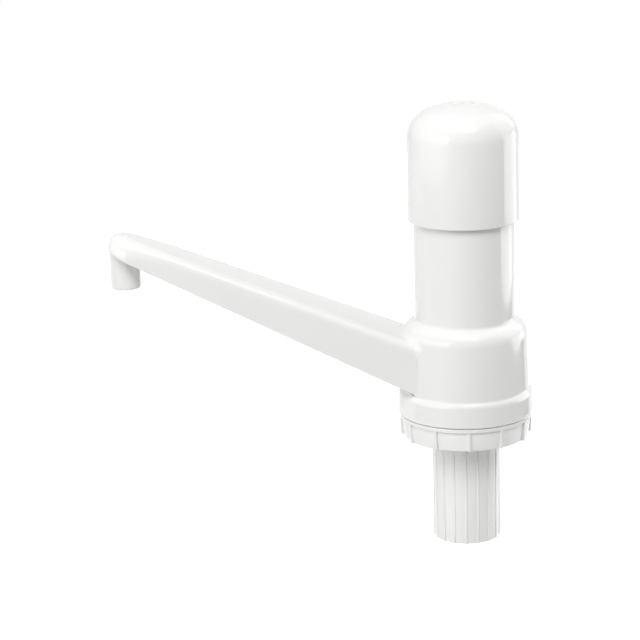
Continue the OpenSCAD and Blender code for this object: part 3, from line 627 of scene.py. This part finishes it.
class ArmForm:
    """The arm's form, with its hollow. s is the distance from the pump's axis, along -X."""

    def __init__(self, body, arm):
        self.arm = arm
        self.s0 = math.sqrt((body.foot_d / 2) ** 2 - (arm.root_w / 2) ** 2)
        self.z0 = body.flange_h + arm.step
        self.end = arm.reach + arm.nose
        self.rise = math.tan(arm.slope)
        self.top_slant = math.hypot(1, self.rise + (arm.tip_h - arm.root_h) / (arm.reach - self.s0))

    def along(self, root, tip, s):
        return root + (tip - root) * (s - self.s0) / (self.arm.reach - self.s0)

    def low(self, s):
        return self.z0 + self.rise * (s - self.s0)

    def high(self, s):
        return self.low(s) + self.along(self.arm.root_h, self.arm.tip_h, s)

    def half(self, s):
        return self.along(self.arm.root_w, self.arm.tip_w, s) / 2

    def on_slope(self, u, w):
        """Point u up the arm's underside and w square to it."""
        c, k = math.cos(self.arm.slope), math.sin(self.arm.slope)
        return -self.s0 - u * c + w * k, self.z0 + u * k + w * c

    def distance(self, x, y, z):
        """Signed distance to the arm's outer form, without its hollow."""
        arm, s = self.arm, -x
        narrowing = (arm.tip_w - arm.root_w) / 2 / (arm.reach - self.s0)
        under = (self.low(s) - z) * math.cos(arm.slope)
        over = (z - self.high(s)) / self.top_slant
        side = (np.abs(y) - self.half(s)) / math.hypot(1, narrowing)
        plan = shared(side, s - self.end, arm.end_round)
        nearing = np.clip((s - arm.reach + arm.round_run) / arm.round_run, 0, 1)
        edge = arm.root_round + (arm.tip_round - arm.root_round) * nearing ** 2
        form = shared(shared(plan, over, edge), under, arm.low_round)
        return np.maximum(form, self.s0 - s)

    def channel(self, inset, start, drop):
        """Mesh of the arm's form drawn in by a wall, for cutting its hollow: a hull round balls and arcs."""
        arm, made = self.arm, bmesh.new()
        stations = ((start, arm.root_round), (arm.reach - arm.round_run, arm.root_round),
                    (self.end - arm.tip_round, arm.tip_round))
        corner = arm.floor_round + inset
        corner_u = (self.end - self.s0) / math.cos(arm.slope) - corner
        corner_s = self.s0 + corner_u * math.cos(arm.slope)
        least = 0.2 * MM
        for side in (-1, 1):
            for s, rounding in stations:
                ball = max(rounding - inset, least)
                place = (-s, side * (self.half(s) - inset - ball), self.high(s) - (inset + ball) * self.top_slant)
                bmesh.ops.create_uvsphere(made, u_segments=24, v_segments=16, radius=ball,
                                          matrix=Matrix.Translation(place))
            x, z = self.on_slope(corner_u, -drop)
            place = Matrix.Translation((x, side * (self.half(corner_s) - corner), z))
            bmesh.ops.create_circle(made, segments=32, radius=arm.floor_round,
                                    matrix=place @ Matrix.Rotation(arm.slope, 4, "Y"))
            x, z = self.on_slope((start - self.s0 - drop * math.sin(arm.slope)) / math.cos(arm.slope), -drop)
            made.verts.new((x, side * (self.half(start) - inset), z))
        points = [v.co.copy() for v in made.verts]
        made.clear()
        for point in points:
            made.verts.new(point)
        bmesh.ops.convex_hull(made, input=made.verts)
        bmesh.ops.delete(made, geom=[v for v in made.verts if not v.link_faces], context="VERTS")
        bmesh.ops.recalc_face_normals(made, faces=made.faces)
        return mesh_of("arm_channel", made)


def body_distance(body, arm, form, x, y, z):
    """Signed distance to barrel, shoulder, body, flange and arm in one, without their hollows."""
    r = np.hypot(x, y)
    draft = (body.foot_d - body.top_d) / 2 / (body.shoulder_z - body.shoulder_round - body.flange_h)
    side = (r - body.foot_d / 2 + draft * np.maximum(z - body.flange_h, 0)) / math.hypot(1, draft)
    block = np.maximum(shared(side, z - body.shoulder_z, body.shoulder_round), PAST - z)
    lean = body.flange_draft / body.flange_h
    flange = shared((r - body.flange_d / 2 + lean * z) / math.hypot(1, lean), z - body.flange_h, body.flange_top_round)
    flange = shared(flange, -z, body.flange_low_round)
    lower = joined(block, flange, body.flange_fillet)
    tube = np.maximum(np.maximum(r - body.barrel_d / 2, z - body.barrel_top), body.flange_h - z)
    tube = np.maximum(tube, (r - body.barrel_d / 2 + z - body.barrel_top + body.barrel_chamfer) * math.sqrt(0.5))
    whole = joined(lower, tube, body.barrel_fillet)
    above = np.clip((z - form.high(-x)) / arm.fillet_run + 1, 0, 1)
    fillet = arm.side_fillet + (arm.top_fillet - arm.side_fillet) * above * above * (3 - 2 * above)
    return joined(whole, form.distance(x, y, z), fillet)


def grid_lines(*spans):
    """Grid lines through spans (start, end, spacing) that follow on each other."""
    lines = [np.linspace(a, b, max(2, math.ceil((b - a) / gap) + 1))[:-1] for a, b, gap in spans]
    return np.concatenate(lines + [[spans[-1][1]]])


def body_mesh(body, arm, form):
    """Samples the body's distance on a grid that leans with the arm, and meshes where it is zero."""
    # Spacing of the grid where the surface bends, along the arm and up the barrel, and its margin round the body
    fine, arm_gap, barrel_gap, margin = 0.55 * MM, 1.3 * MM, 2.5 * MM, 2 * MM
    # Distance from the axis at which the grid starts to lean, and the run that eases it in
    bend, ease = 34 * MM, 6 * MM
    # The grid is fine as far as the nose's end and the shoulder's top, and again from the barrel's chamfer up
    wide, nose = body.flange_d / 2 + margin, -form.end + 14 * MM
    shoulder, chamfer = body.shoulder_z + 3 * MM, body.barrel_top - 3 * MM
    xs = grid_lines((-form.end - margin, nose, fine), (nose, -bend, arm_gap), (-bend, wide, fine))
    ys = grid_lines((-wide, wide, fine))
    zs = grid_lines((-margin, shoulder, fine), (shoulder, chamfer, barrel_gap),
                    (chamfer, body.barrel_top + margin, fine))

    def lean(x):
        over = -x - bend
        return form.rise * np.where(over > ease, over, np.where(over < -ease, 0, (over + ease) ** 2 / (4 * ease)))

    field = np.empty((len(xs), len(ys), len(zs)), np.float32)
    for i, x in enumerate(xs):
        field[i] = body_distance(body, arm, form, x, ys[:, None], zs[None, :] + lean(x))
    grid = openvdb.FloatGrid(float(field.max()))
    grid.copyFromArray(field)
    points, quads = grid.convertToQuads(0.0)
    x, y, z = (np.interp(column, np.arange(len(lines)), lines)
               for column, lines in zip(points.astype(float).T, (xs, ys, zs)))
    place, small = np.stack([x, y, z + lean(x)]), 0.02 * MM
    # Steps down the slope, as in Newton's method, draw the points onto the exact surface
    for _ in range(4):
        value = body_distance(body, arm, form, *place)
        slope = np.empty_like(place)
        for axis in range(3):
            shift = np.zeros((3, 1))
            shift[axis] = small
            slope[axis] = (body_distance(body, arm, form, *(place + shift))
                           - body_distance(body, arm, form, *(place - shift))) / (2 * small)
        place = place - value * slope / np.maximum((slope ** 2).sum(0), 0.1)
    return plain_mesh("body_moulding", place.T.tolist(), faces=quads.tolist())


class PUMP_OT_body(bpy.types.Operator):
    """Makes the moulding of barrel, body, flange and arm"""
    bl_idname = "pump.body"
    bl_label = "Body moulding"

    def execute(self, context):
        body, arm = context.scene.pump_body, context.scene.pump_arm
        form = ArmForm(body, arm)
        cup, bore = body.foot_d / 2 - body.wall, body.barrel_bore / 2
        high, sleeve = cup - body.plug_step, body.barrel_d / 2
        cup_top, bend = body.top_d / 2 - body.wall, body.shoulder_z - body.shoulder_round
        past_bend = sleeve - body.top_d / 2 + body.shoulder_round
        roof = bend + math.sqrt((body.shoulder_round - body.wall) ** 2 - max(past_bend, 0) ** 2)
        hollow = [(0, -PAST), (cup, -PAST), (cup, body.plug_top), (high, body.plug_top), (cup_top, bend),
                  (sleeve, roof), (sleeve, body.sleeve_low), (bore, body.sleeve_low),
                  (bore, body.barrel_top + PAST), (0, body.barrel_top + PAST)]
        channel = form.channel(arm.wall, sleeve + CHANNEL_GAP, PAST)
        hole_r, foot = arm.nozzle_d / 2 + NOZZLE_PLAY, form.low(arm.reach) - arm.nozzle_drop
        top = form.low(arm.reach + hole_r) + arm.nozzle_top / math.cos(arm.slope)
        hole = turned_mesh("nozzle_hole", [(0, foot), (hole_r, foot), (hole_r, top), (0, top)], HOLE_STEPS)
        hole.transform(Matrix.Translation((-arm.reach, 0, 0)))
        mesh = carved("body_moulding", body_mesh(body, arm, form), [turned_mesh("body_hollow", hollow), channel, hole])
        make_piece("body_moulding", smooth(mesh, CUT_ANGLE), WHITE, "pump_body", "body_shell", "spout_arm")
        return {"FINISHED"}


class PUMP_OT_floor_strip(bpy.types.Operator):
    """Gives the arm's floor strip its finish"""
    bl_idname = "pump.floor_strip"
    bl_label = "Arm floor strip"

    def execute(self, context):
        dress("arm_floor", WHITE)
        return {"FINISHED"}


class PUMP_OT_nozzle(bpy.types.Operator):
    """Makes the nozzle under the arm's tip"""
    bl_idname = "pump.nozzle"
    bl_label = "Nozzle"

    def execute(self, context):
        arm = context.scene.pump_arm
        form = ArmForm(context.scene.pump_body, arm)
        foot, top = form.low(arm.reach) - arm.nozzle_drop, form.low(form.end) + arm.nozzle_top
        outer, mouth, inner = arm.nozzle_d / 2, arm.nozzle_bore / 2, arm.nozzle_inner / 2
        outline = [(mouth, foot, SOFT), (outer, foot, arm.nozzle_round), (outer, top, 0), (inner, top, 0),
                   (inner, foot + arm.nozzle_bore_h, 0), (mouth, foot + arm.nozzle_bore_h, 0)]
        mesh = turned_mesh("nozzle", turn_outline(outline), SLIM_STEPS)
        mesh.transform(Matrix.Translation((-arm.reach, 0, 0)))
        reach = 4 * arm.nozzle_d
        above = block_mesh("above", (-reach, -reach, 0), (reach, reach, reach))
        x, z = form.on_slope((arm.reach - form.s0) / math.cos(arm.slope), arm.nozzle_top)
        above.transform(Matrix.Translation((x, 0, z)) @ Matrix.Rotation(arm.slope, 4, "Y"))
        make_piece("nozzle", smooth(carved("nozzle", mesh, [above])), WHITE, "pump_body", "nozzle_tube")
        return {"FINISHED"}


def dome_outline(side, top, corner, crown, last_r, steps=40):
    """Points of a dome's side view, from the foot of its corner over the crown to a radius."""
    bend = top - crown + math.sqrt((crown - corner) ** 2 - (side - corner) ** 2)
    meet = math.atan2(bend - top + crown, side - corner)
    points = [(side - corner + corner * math.cos(meet * k / steps), bend + corner * math.sin(meet * k / steps))
              for k in range(steps)]
    return points + [(crown * math.cos(a), top - crown + crown * math.sin(a))
                     for a in np.linspace(meet, math.acos(last_r / crown), steps)]


class PUMP_OT_cap(bpy.types.Operator):
    """Makes the domed push cap"""
    bl_idname = "pump.cap"
    bl_label = "Push cap"

    def execute(self, context):
        cap = context.scene.pump_cap
        wall, over_rim = (cap.rim_d - cap.bore) / 2, cap.rim_z + 2 * MM
        rim = turn_outline([(cap.bore / 2, over_rim, 0), (cap.bore / 2, cap.rim_z, cap.rim_round),
                            (cap.rim_d / 2, cap.rim_z, cap.rim_round), (cap.rim_d / 2, over_rim, 0)])[1:-1]
        # The dimple's edge is a lip, which takes part of its depth, and its floor is dished
        lip, lip_depth = 0.35 * MM, 0.1 * MM
        outside = dome_outline(cap.side_d / 2, cap.top_z, cap.corner, cap.crown, cap.dimple_d / 2 + lip)
        dish_z = outside[-1][1] - lip * 0.4
        dish = [(cap.dimple_d / 2 * t, dish_z - (cap.dimple_depth - lip_depth) * (1 - t ** 4))
                for t in np.linspace(0.98, 0, 14)]
        ceiling = dome_outline(cap.bore / 2, cap.top_z - cap.dome_wall, cap.corner - wall, cap.crown - cap.dome_wall,
                               0.0)[::-1]
        # Points of the ceiling this close to the boss give way to it
        hole, boss, close = cap.boss_bore / 2, cap.boss_d / 2, 0.2 * MM
        hole_z, boss_z = (float(np.interp(r, *zip(*ceiling))) for r in (hole, boss))
        outline = [tuple(p) for p in rim] + outside + dish + [p for p in ceiling if p[0] < hole - close]
        outline += [(hole, hole_z), (hole, cap.boss_z), (boss, cap.boss_z), (boss, boss_z)]
        outline += [p for p in ceiling if p[0] > boss + close]
        mesh = smooth(turned_mesh("push_cap_moulding", outline))
        make_piece("push_cap_moulding", mesh, WHITE, "plunger", "push_cap")
        return {"FINISHED"}


class PUMP_OT_nut(bpy.types.Operator):
    """Makes the ribbed lid nut"""
    bl_idname = "pump.nut"
    bl_label = "Lid nut"

    def execute(self, context):
        clamp = context.scene.pump_clamp
        top, low = -clamp.rim_gap, -clamp.nut_gap - clamp.nut_h
        rim, bore = -clamp.nut_gap - clamp.nut_rim_h, clamp.stub_d / 2 + clamp.bore_gap
        seat_r, seat_z = clamp.washer_d / 2 + clamp.bore_gap, -clamp.nut_gap - clamp.washer_t - RUN_GAP
        outer, panel, drawn_in = clamp.nut_d / 2, clamp.nut_panel_d / 2, (clamp.nut_panel_d - clamp.nut_low_d) / 2
        bowed = [(panel - drawn_in * t * t, rim + (low - rim) * t, 0) for t in np.linspace(0.9, 0.1, 9)]
        outline = [(bore, low, SOFT), (panel - drawn_in, low, EASED), *bowed, (panel, rim, KEEN), (outer, rim, KEEN),
                   (outer, top, RIM_EDGE), (seat_r, top, KEEN), (seat_r, seat_z, 0), (bore, seat_z, 0)]
        ring = turned_mesh("nut_ring", turn_outline(outline, 5), 16 * clamp.rib_count)
        # The ribs start clear of the washer's seat, and their heads end inside the rim
        root, head = (seat_r + clamp.nut_low_d / 2) / 2, rim + 0.5 * MM
        rib = block_mesh("nut_rib", (root, -clamp.rib_w / 2, low), (outer, clamp.rib_w / 2, head), SHARP)
        for corner in rib.vertices:
            outward = (corner.co.x - root) / (outer - root)
            corner.co.x -= clamp.rib_taper * outward * (head - corner.co.z) / (head - low)
        mesh = carved("lid_nut_moulding", ring, [rib_ring("nut_ribs", rib, clamp)], "UNION")
        make_piece("lid_nut_moulding", smooth(mesh), WHITE, "nut", "lid_nut")
        return {"FINISHED"}


class PUMP_OT_tube(bpy.types.Operator):
    """Makes the ribbed intake tube"""
    bl_idname = "pump.tube"
    bl_label = "Intake tube"

    def execute(self, context):
        tube, stub = context.scene.pump_tube, context.scene.pump_clamp.stub_h
        low, stop, socket, bore = -tube.drop, -tube.drop + tube.socket_h, tube.socket_d / 2, tube.bore / 2
        outline = [(socket, low, tube.edge), (tube.low_d / 2, low, tube.edge), (tube.top_d / 2, -stub, 0),
                   (tube.top_d / 2, tube.top_z, 0), (bore, tube.top_z, 0), (bore, stop, 0), (socket, stop, 0)]
        pipe = turned_mesh("tube_pipe", turn_outline(outline, 5), 144)
        # The ribs start inside the wall and end just below the stub
        root, head = socket + (tube.low_d - tube.socket_d) / 4, -stub - RIB_GAP
        rib = block_mesh("tube_rib", (root, -tube.rib_w / 2, low), (tube.rib_d / 2, tube.rib_w / 2, head), KEEN)
        mesh = carved("intake_tube_moulding", pipe, [rib_ring("tube_ribs", rib, tube)], "UNION")
        make_piece("intake_tube_moulding", smooth(mesh), WHITE, "pump_body", "intake_tube")
        return {"FINISHED"}


# Lid clamp and inner pieces

def ring_outline(middle, z, section, steps=24):
    """Outline of a round ring's section."""
    return [(middle + section / 2 * math.cos(math.tau * k / steps), z + section / 2 * math.sin(math.tau * k / steps))
            for k in range(steps)]


def ball_mesh(name, centre, radius, rows=32):
    """Ball about a centre."""
    half = [(radius * math.cos(a) if 0 < i < rows else 0, radius * math.sin(a))
            for i, a in enumerate(np.linspace(-math.pi / 2, math.pi / 2, rows + 1))]
    mesh = turned_mesh(name, half, 2 * rows)
    mesh.transform(Matrix.Translation(centre))
    return smooth(mesh)


class PUMP_OT_base(bpy.types.Operator):
    """Makes the base plug with its threaded stub, the lid gasket and the slip washer"""
    bl_idname = "pump.base"
    bl_label = "Base plug and clamp rings"

    def execute(self, context):
        clamp, inner = context.scene.pump_clamp, context.scene.pump_inner
        tube, body = context.scene.pump_tube, context.scene.pump_body
        gap, end, under = inner.seat_gap, -clamp.stub_h, clamp.plug_z
        stub, top, rim = clamp.stub_d / 2, body.plug_top - gap, clamp.plug_d / 2
        root, groove, socket = stub - clamp.thread_h, rim - inner.oring_d, tube.top_d / 2 + gap
        low_g, high_g = inner.oring_z - inner.oring_d / 2 - gap, inner.oring_z + inner.oring_d / 2 + gap
        floor, ledge, cup = tube.top_z + gap, under + PLUG_WALL, groove - PLUG_WALL / 2
        cone, well = floor + PLUG_WALL + PAST, INLET_BALL_R + BALL_PLAY
        outline = [(INLET_BORE_R, floor, 0), (socket, floor, 0), (socket, end, 0), (root, end, STUB_ROUND),
                   (root, under, 0), (rim, under, EASED), (rim, low_g, 0), (groove, low_g, 0), (groove, high_g, 0),
                   (rim, high_g, 0), (rim, top, KEEN), (cup, top, 0), (cup, ledge, 0), (CAGE_FOOT_R, ledge, 0),
                   (CAGE_FOOT_R, top, 0), (well, top, 0), (well, cone + well - INLET_BORE_R, 0),
                   (INLET_BORE_R, cone, 0)]
        turned_piece("base_plug_moulding", outline, NATURAL, "pump_body", "base_plug")
        turns = (clamp.stub_h - THREAD_SHORT) / clamp.thread_pitch
        ts = np.linspace(0, turns, round(turns * THREAD_STEPS))
        mesh = wound_wire("stub_thread", root, ts, end + THREAD_START + clamp.thread_pitch * ts, NATURAL,
                          wire=clamp.thread_h, sides=12, run_out=0.08)
        make_piece("stub_thread", mesh, NATURAL, "pump_body")
        inside, outside, low = stub + gap, clamp.gasket_d / 2, -clamp.gasket_proud
        turned_piece("lid_gasket_ring", [(inside, low, SHARP), (outside, low, SHARP), (outside, under, 0),
                                         (inside, under, 0)], RUBBER, "pump_body", "lid_gasket")
        inside, outside, top = stub + clamp.bore_gap, clamp.washer_d / 2, -clamp.nut_gap
        low = top - clamp.washer_t
        turned_piece("slip_washer_ring", [(inside, low, SHARP), (outside, low, SHARP), (outside, top, SHARP),
                                          (inside, top, SHARP)], NATURAL, "washer", "slip_washer")
        section = ring_outline(groove + inner.oring_d / 2, inner.oring_z, inner.oring_d)
        mesh = smooth(turned_mesh("base_oring_ring", section))
        make_piece("base_oring_ring", mesh, RUBBER, "pump_body", "base_oring")
        return {"FINISHED"}


class PUMP_OT_plunger(bpy.types.Operator):
    """Makes the stem, the piston with its rings, and the barrel collar"""
    bl_idname = "pump.plunger"
    bl_label = "Plunger"

    def execute(self, context):
        inner, body = context.scene.pump_inner, context.scene.pump_body
        gap, stem, hollow, screw = inner.seat_gap, inner.stem_d / 2, inner.stem_bore / 2, inner.screw_bore / 2
        outline = [(screw, inner.stem_low, 0), (stem, inner.stem_low, SOFT), (stem, inner.stem_top, SOFT),
                   (hollow, inner.stem_top, SOFT), (hollow, inner.stem_solid, 0), (screw, inner.stem_solid, 0)]
        turned_piece("plunger_stem_rod", outline, NATURAL, "plunger", "plunger_stem", SLIM_STEPS)
        low, top, outer, bore = inner.piston_low, inner.piston_top, inner.piston_d / 2, body.barrel_bore / 2
        seat, half = bore - inner.ring_gap - inner.ring_d - gap, inner.ring_d / 2 + gap
        rings = [low + (top - low) / 4, low + (top - low) * 3 / 4]
        # The spring's upper end sits in a groove of the piston's underside
        spring, wire, groove = inner.spring_d / 2, inner.spring_wire / 2, low + 1 * MM
        groove_in, groove_out = spring - wire - 0.6 * MM, spring + wire + 0.3 * MM
        outline = [(screw, low, 0), (groove_in, low, 0), (groove_in, groove, 0), (groove_out, groove, 0),
                   (groove_out, low, 0), (outer, low, EASED)]
        for z in rings:
            outline += [(outer, z - half, 0), (seat, z - half, 0), (seat, z + half, 0), (outer, z + half, 0)]
        outline += [(outer, top, EASED), (stem + gap, top, EASED), (stem + gap, inner.stem_low - gap, 0),
                    (screw, inner.stem_low - gap, 0)]
        turned_piece("piston_head", outline, NATURAL, "plunger", "piston")
        loops, middle = bmesh.new(), bore - inner.ring_gap - inner.ring_d / 2
        for z in rings:
            loops.from_mesh(turned_mesh("ring", ring_outline(middle, z, inner.ring_d)))
        make_piece("piston_rings", smooth(mesh_of("piston_rings", loops)), RUBBER, "plunger", "piston_seals")
        sleeve, web, rim = bore - gap, inner.collar_web, body.barrel_top
        lip, end = body.barrel_d / 2 - body.barrel_chamfer, rim + inner.collar_lip
        guide, low = stem + inner.ring_gap, inner.collar_low
        outline = [(guide, low, 0), (sleeve, low, 0), (sleeve, rim, 0), (lip, rim, 0), (lip, end, EASED),
                   (sleeve - web, end, EASED), (sleeve - web, low + web, 0), (guide, low + web, 0)]
        turned_piece("barrel_collar_ring", outline, NATURAL, "pump_body", "barrel_collar")
        dress("piston_screw", STEEL)
        return {"FINISHED"}


class PUMP_OT_spring(bpy.types.Operator):
    """Winds the return spring"""
    bl_idname = "pump.spring"
    bl_label = "Return spring"

    def execute(self, context):
        inner = context.scene.pump_inner
        turns, close, wire = inner.spring_turns, inner.spring_close, inner.spring_wire
        span = inner.spring_top - inner.spring_low - wire
        ts = np.linspace(0, turns, SPRING_STEPS * turns + 1)
        heights = np.interp(ts, [0, 1, turns - 1, turns], [0, close, span - close, span])
        mesh = wound_wire("return_spring_wire", inner.spring_d / 2, ts, inner.spring_low + wire / 2 + heights, STEEL,
                          wire=wire / 2, sides=14, run_out=0.0001)
        spring = make_piece("return_spring_wire", mesh, STEEL, "pump_body", "return_spring")
        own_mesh(spring)
        return {"FINISHED"}


class PUMP_OT_valves(bpy.types.Operator):
    """Makes the valve balls and finishes the valve seats"""
    bl_idname = "pump.valves"
    bl_label = "Valves"

    def execute(self, context):
        for node, body in (("inlet_ball", "inlet_valve"), ("outlet_ball", "outlet_valve")):
            low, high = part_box(node)
            mesh = ball_mesh(node + "_ground", (low + high) / 2, (high.z - low.z) / 2)
            make_piece(node + "_ground", mesh, STEEL, body, node)
        for node, look in (("outlet_seat", NATURAL), ("inlet_cage", NATURAL), ("ball_stop_pin", STEEL)):
            dress(node, look)
        return {"FINISHED"}


# Stage

def soft_box(name, radiance, side, rise, size, mirrored):
    """Area light that faces the pump, degrees to the right of the camera and above the horizon."""
    lamp = bpy.data.lights.new(name, "AREA")
    lamp.shape, lamp.size, lamp.size_y = "RECTANGLE", *size
    lamp.energy = radiance * math.pi * size[0] * size[1]
    turn, up = math.radians(side) + CAMERA_SIDE, math.radians(rise)
    way = Vector((math.cos(up) * math.cos(turn), math.cos(up) * math.sin(turn), math.sin(up)))
    thing = put(name, lamp)
    thing.location = Vector(STAGE_MIDDLE) + LAMP_FAR * way
    thing.rotation_mode = "QUATERNION"
    thing.rotation_quaternion = way.to_track_quat("Z", "Y")
    thing.visible_glossy = mirrored


def bare_tree(block):
    """Emptied node tree of a material or world."""
    block.use_nodes = True
    block.node_tree.nodes.clear()
    return block.node_tree


def seen_directly(tree):
    """Socket that is 1 for camera, glossy and transmission rays, and 0 for the rays that light things."""
    path = add_node(tree, "ShaderNodeLightPath")
    first = add_node(tree, "ShaderNodeMath", {0: path["Is Camera Ray"], 1: path["Is Glossy Ray"]},
                     operation="MAXIMUM")[0]
    return add_node(tree, "ShaderNodeMath", {0: first, 1: path["Is Transmission Ray"]}, operation="MAXIMUM")[0]


def lay_floor(drop):
    """Pale floor, white to the camera and in reflections, and clear from below."""
    material = bpy.data.materials.new("floor_card")
    tree = bare_tree(material)
    # Pale card: it lights the pump as a dull surface does, and is even white to the eye
    seen = seen_directly(tree)
    card = add_node(tree, "ShaderNodeBsdfDiffuse", {"Color": (*bpy.context.scene.pump_finishes.floor, 1)})[0]
    white = add_node(tree, "ShaderNodeEmission", {"Color": (1, 1, 1, 1), "Strength": 1.0})[0]
    lit = add_node(tree, "ShaderNodeAddShader", {0: card, 1: white})[0]
    either = add_node(tree, "ShaderNodeMixShader", {0: seen, 1: card, 2: lit})[0]
    below = add_node(tree, "ShaderNodeNewGeometry")["Backfacing"]
    clear = add_node(tree, "ShaderNodeBsdfTransparent")[0]
    one_sided = add_node(tree, "ShaderNodeMixShader", {0: below, 1: either, 2: clear})[0]
    add_node(tree, "ShaderNodeOutputMaterial", {"Surface": one_sided})
    corners = [(x * FLOOR_HALF, y * FLOOR_HALF, -drop) for x, y in ((-1, -1), (1, -1), (1, 1), (-1, 1))]
    mesh = plain_mesh("floor", corners, faces=[(0, 1, 2, 3)])
    mesh.materials.append(material)
    floor = put("floor", mesh)


def stand_card(low, high):
    """Grey card that stands round the camera's side, behind the lamps, and shows only in reflections."""
    material = bpy.data.materials.new("grey_card")
    tree = bare_tree(material)
    # Dull grey paper: the gloss of the pump shows it between the lamps
    paper = add_node(tree, "ShaderNodeBsdfDiffuse", {"Color": (*bpy.context.scene.pump_finishes.card, 1)})[0]
    clear = add_node(tree, "ShaderNodeBsdfTransparent")[0]
    camera_ray = add_node(tree, "ShaderNodeLightPath")["Is Camera Ray"]
    either = add_node(tree, "ShaderNodeMixShader", {0: camera_ray, 1: paper, 2: clear})[0]
    add_node(tree, "ShaderNodeOutputMaterial", {"Surface": either})
    turns = [CAMERA_SIDE + math.radians(a) for a in range(CARD_FROM, CARD_TO + 1, CARD_STEP)]
    points = [(CARD_FAR * math.cos(t), CARD_FAR * math.sin(t), z) for z in (low, high) for t in turns]
    count = len(turns)
    mesh = plain_mesh("grey_card", points, faces=[(k, k + 1, count + k + 1, count + k) for k in range(count - 1)])
    mesh.materials.append(material)
    card = put("grey_card", mesh)


class PUMP_OT_stage(bpy.types.Operator):
    """Sets the camera, the soft light and the pale floor"""
    bl_idname = "pump.stage"
    bl_label = "Stage"

    def execute(self, context):
        scene, stage = context.scene, context.scene.pump_stage
        scene.view_settings.view_transform = "Standard"
        lens = bpy.data.cameras.new("photo_camera")
        lens.sensor_width, lens.lens = 36, stage.lens
        lens.clip_start, lens.clip_end = 0.01, 50
        camera = put("photo_camera", lens)
        ahead = Vector((0, math.cos(stage.pitch), -math.sin(stage.pitch)))
        turn = Matrix.Rotation(-stage.roll, 3, ahead)
        right, up = turn @ Vector((1, 0, 0)), turn @ Vector((0, math.sin(stage.pitch), math.cos(stage.pitch)))
        camera.rotation_mode = "QUATERNION"
        camera.rotation_quaternion = Matrix((right, up, -ahead)).transposed().to_quaternion()
        camera.location = stage.eye
        scene.camera = camera
        for name, place in LAMPS.items():
            soft_box(name + "_box", getattr(stage, name), *place)
        world = bpy.data.worlds.new("studio")
        tree = bare_tree(world)
        seen = seen_directly(tree)
        room, paper = (add_node(tree, "ShaderNodeBackground", {"Color": (1, 1, 1, 1), "Strength": strength})[0]
                       for strength in (stage.sky, 1.0))
        either = add_node(tree, "ShaderNodeMixShader", {0: seen, 1: room, 2: paper})[0]
        add_node(tree, "ShaderNodeOutputWorld", {"Surface": either})
        scene.world = world
        lay_floor(stage.floor_drop)
        stand_card(-stage.floor_drop, stage.card_top)
        return {"FINISHED"}


# Panel and registration

GROUPS = {
    "pump_body": PumpBodySizes, "pump_arm": PumpArmSizes, "pump_cap": PumpCapSizes, "pump_clamp": PumpClampSizes,
    "pump_tube": PumpTubeSizes, "pump_inner": PumpInnerSizes, "pump_finishes": PumpFinishes, "pump_stage": PumpStage,
}
STEPS = (PUMP_OT_stage, PUMP_OT_body, PUMP_OT_floor_strip, PUMP_OT_nozzle, PUMP_OT_cap, PUMP_OT_nut, PUMP_OT_tube,
         PUMP_OT_base, PUMP_OT_plunger, PUMP_OT_spring, PUMP_OT_valves)


class PUMP_PT_panel(bpy.types.Panel):
    """Lists the pump's pieces and sizes"""
    bl_idname = "PUMP_PT_panel"
    bl_label = "Bucket Dosing Pump"
    bl_space_type = "VIEW_3D"
    bl_region_type = "UI"
    bl_category = "Pump"

    def draw(self, context):
        for step in STEPS:
            self.layout.operator(step.bl_idname)
        for name, group in GROUPS.items():
            box = self.layout.box()
            box.label(text=group.__doc__)
            for key in group.__annotations__:
                box.prop(getattr(context.scene, name), key)


def register():
    for kind in (*GROUPS.values(), *STEPS, PUMP_PT_panel):
        bpy.utils.register_class(kind)
    for name, group in GROUPS.items():
        setattr(bpy.types.Scene, name, bpy.props.PointerProperty(type=group))


def unregister():
    for name in GROUPS:
        delattr(bpy.types.Scene, name)
    for kind in (PUMP_PT_panel, *reversed(STEPS), *reversed(GROUPS.values())):
        bpy.utils.unregister_class(kind)


def main():
    register()
    for step in STEPS:
        group, name = step.bl_idname.split(".")
        getattr(getattr(bpy.ops, group), name)()


if __name__ == "__main__":
    main()
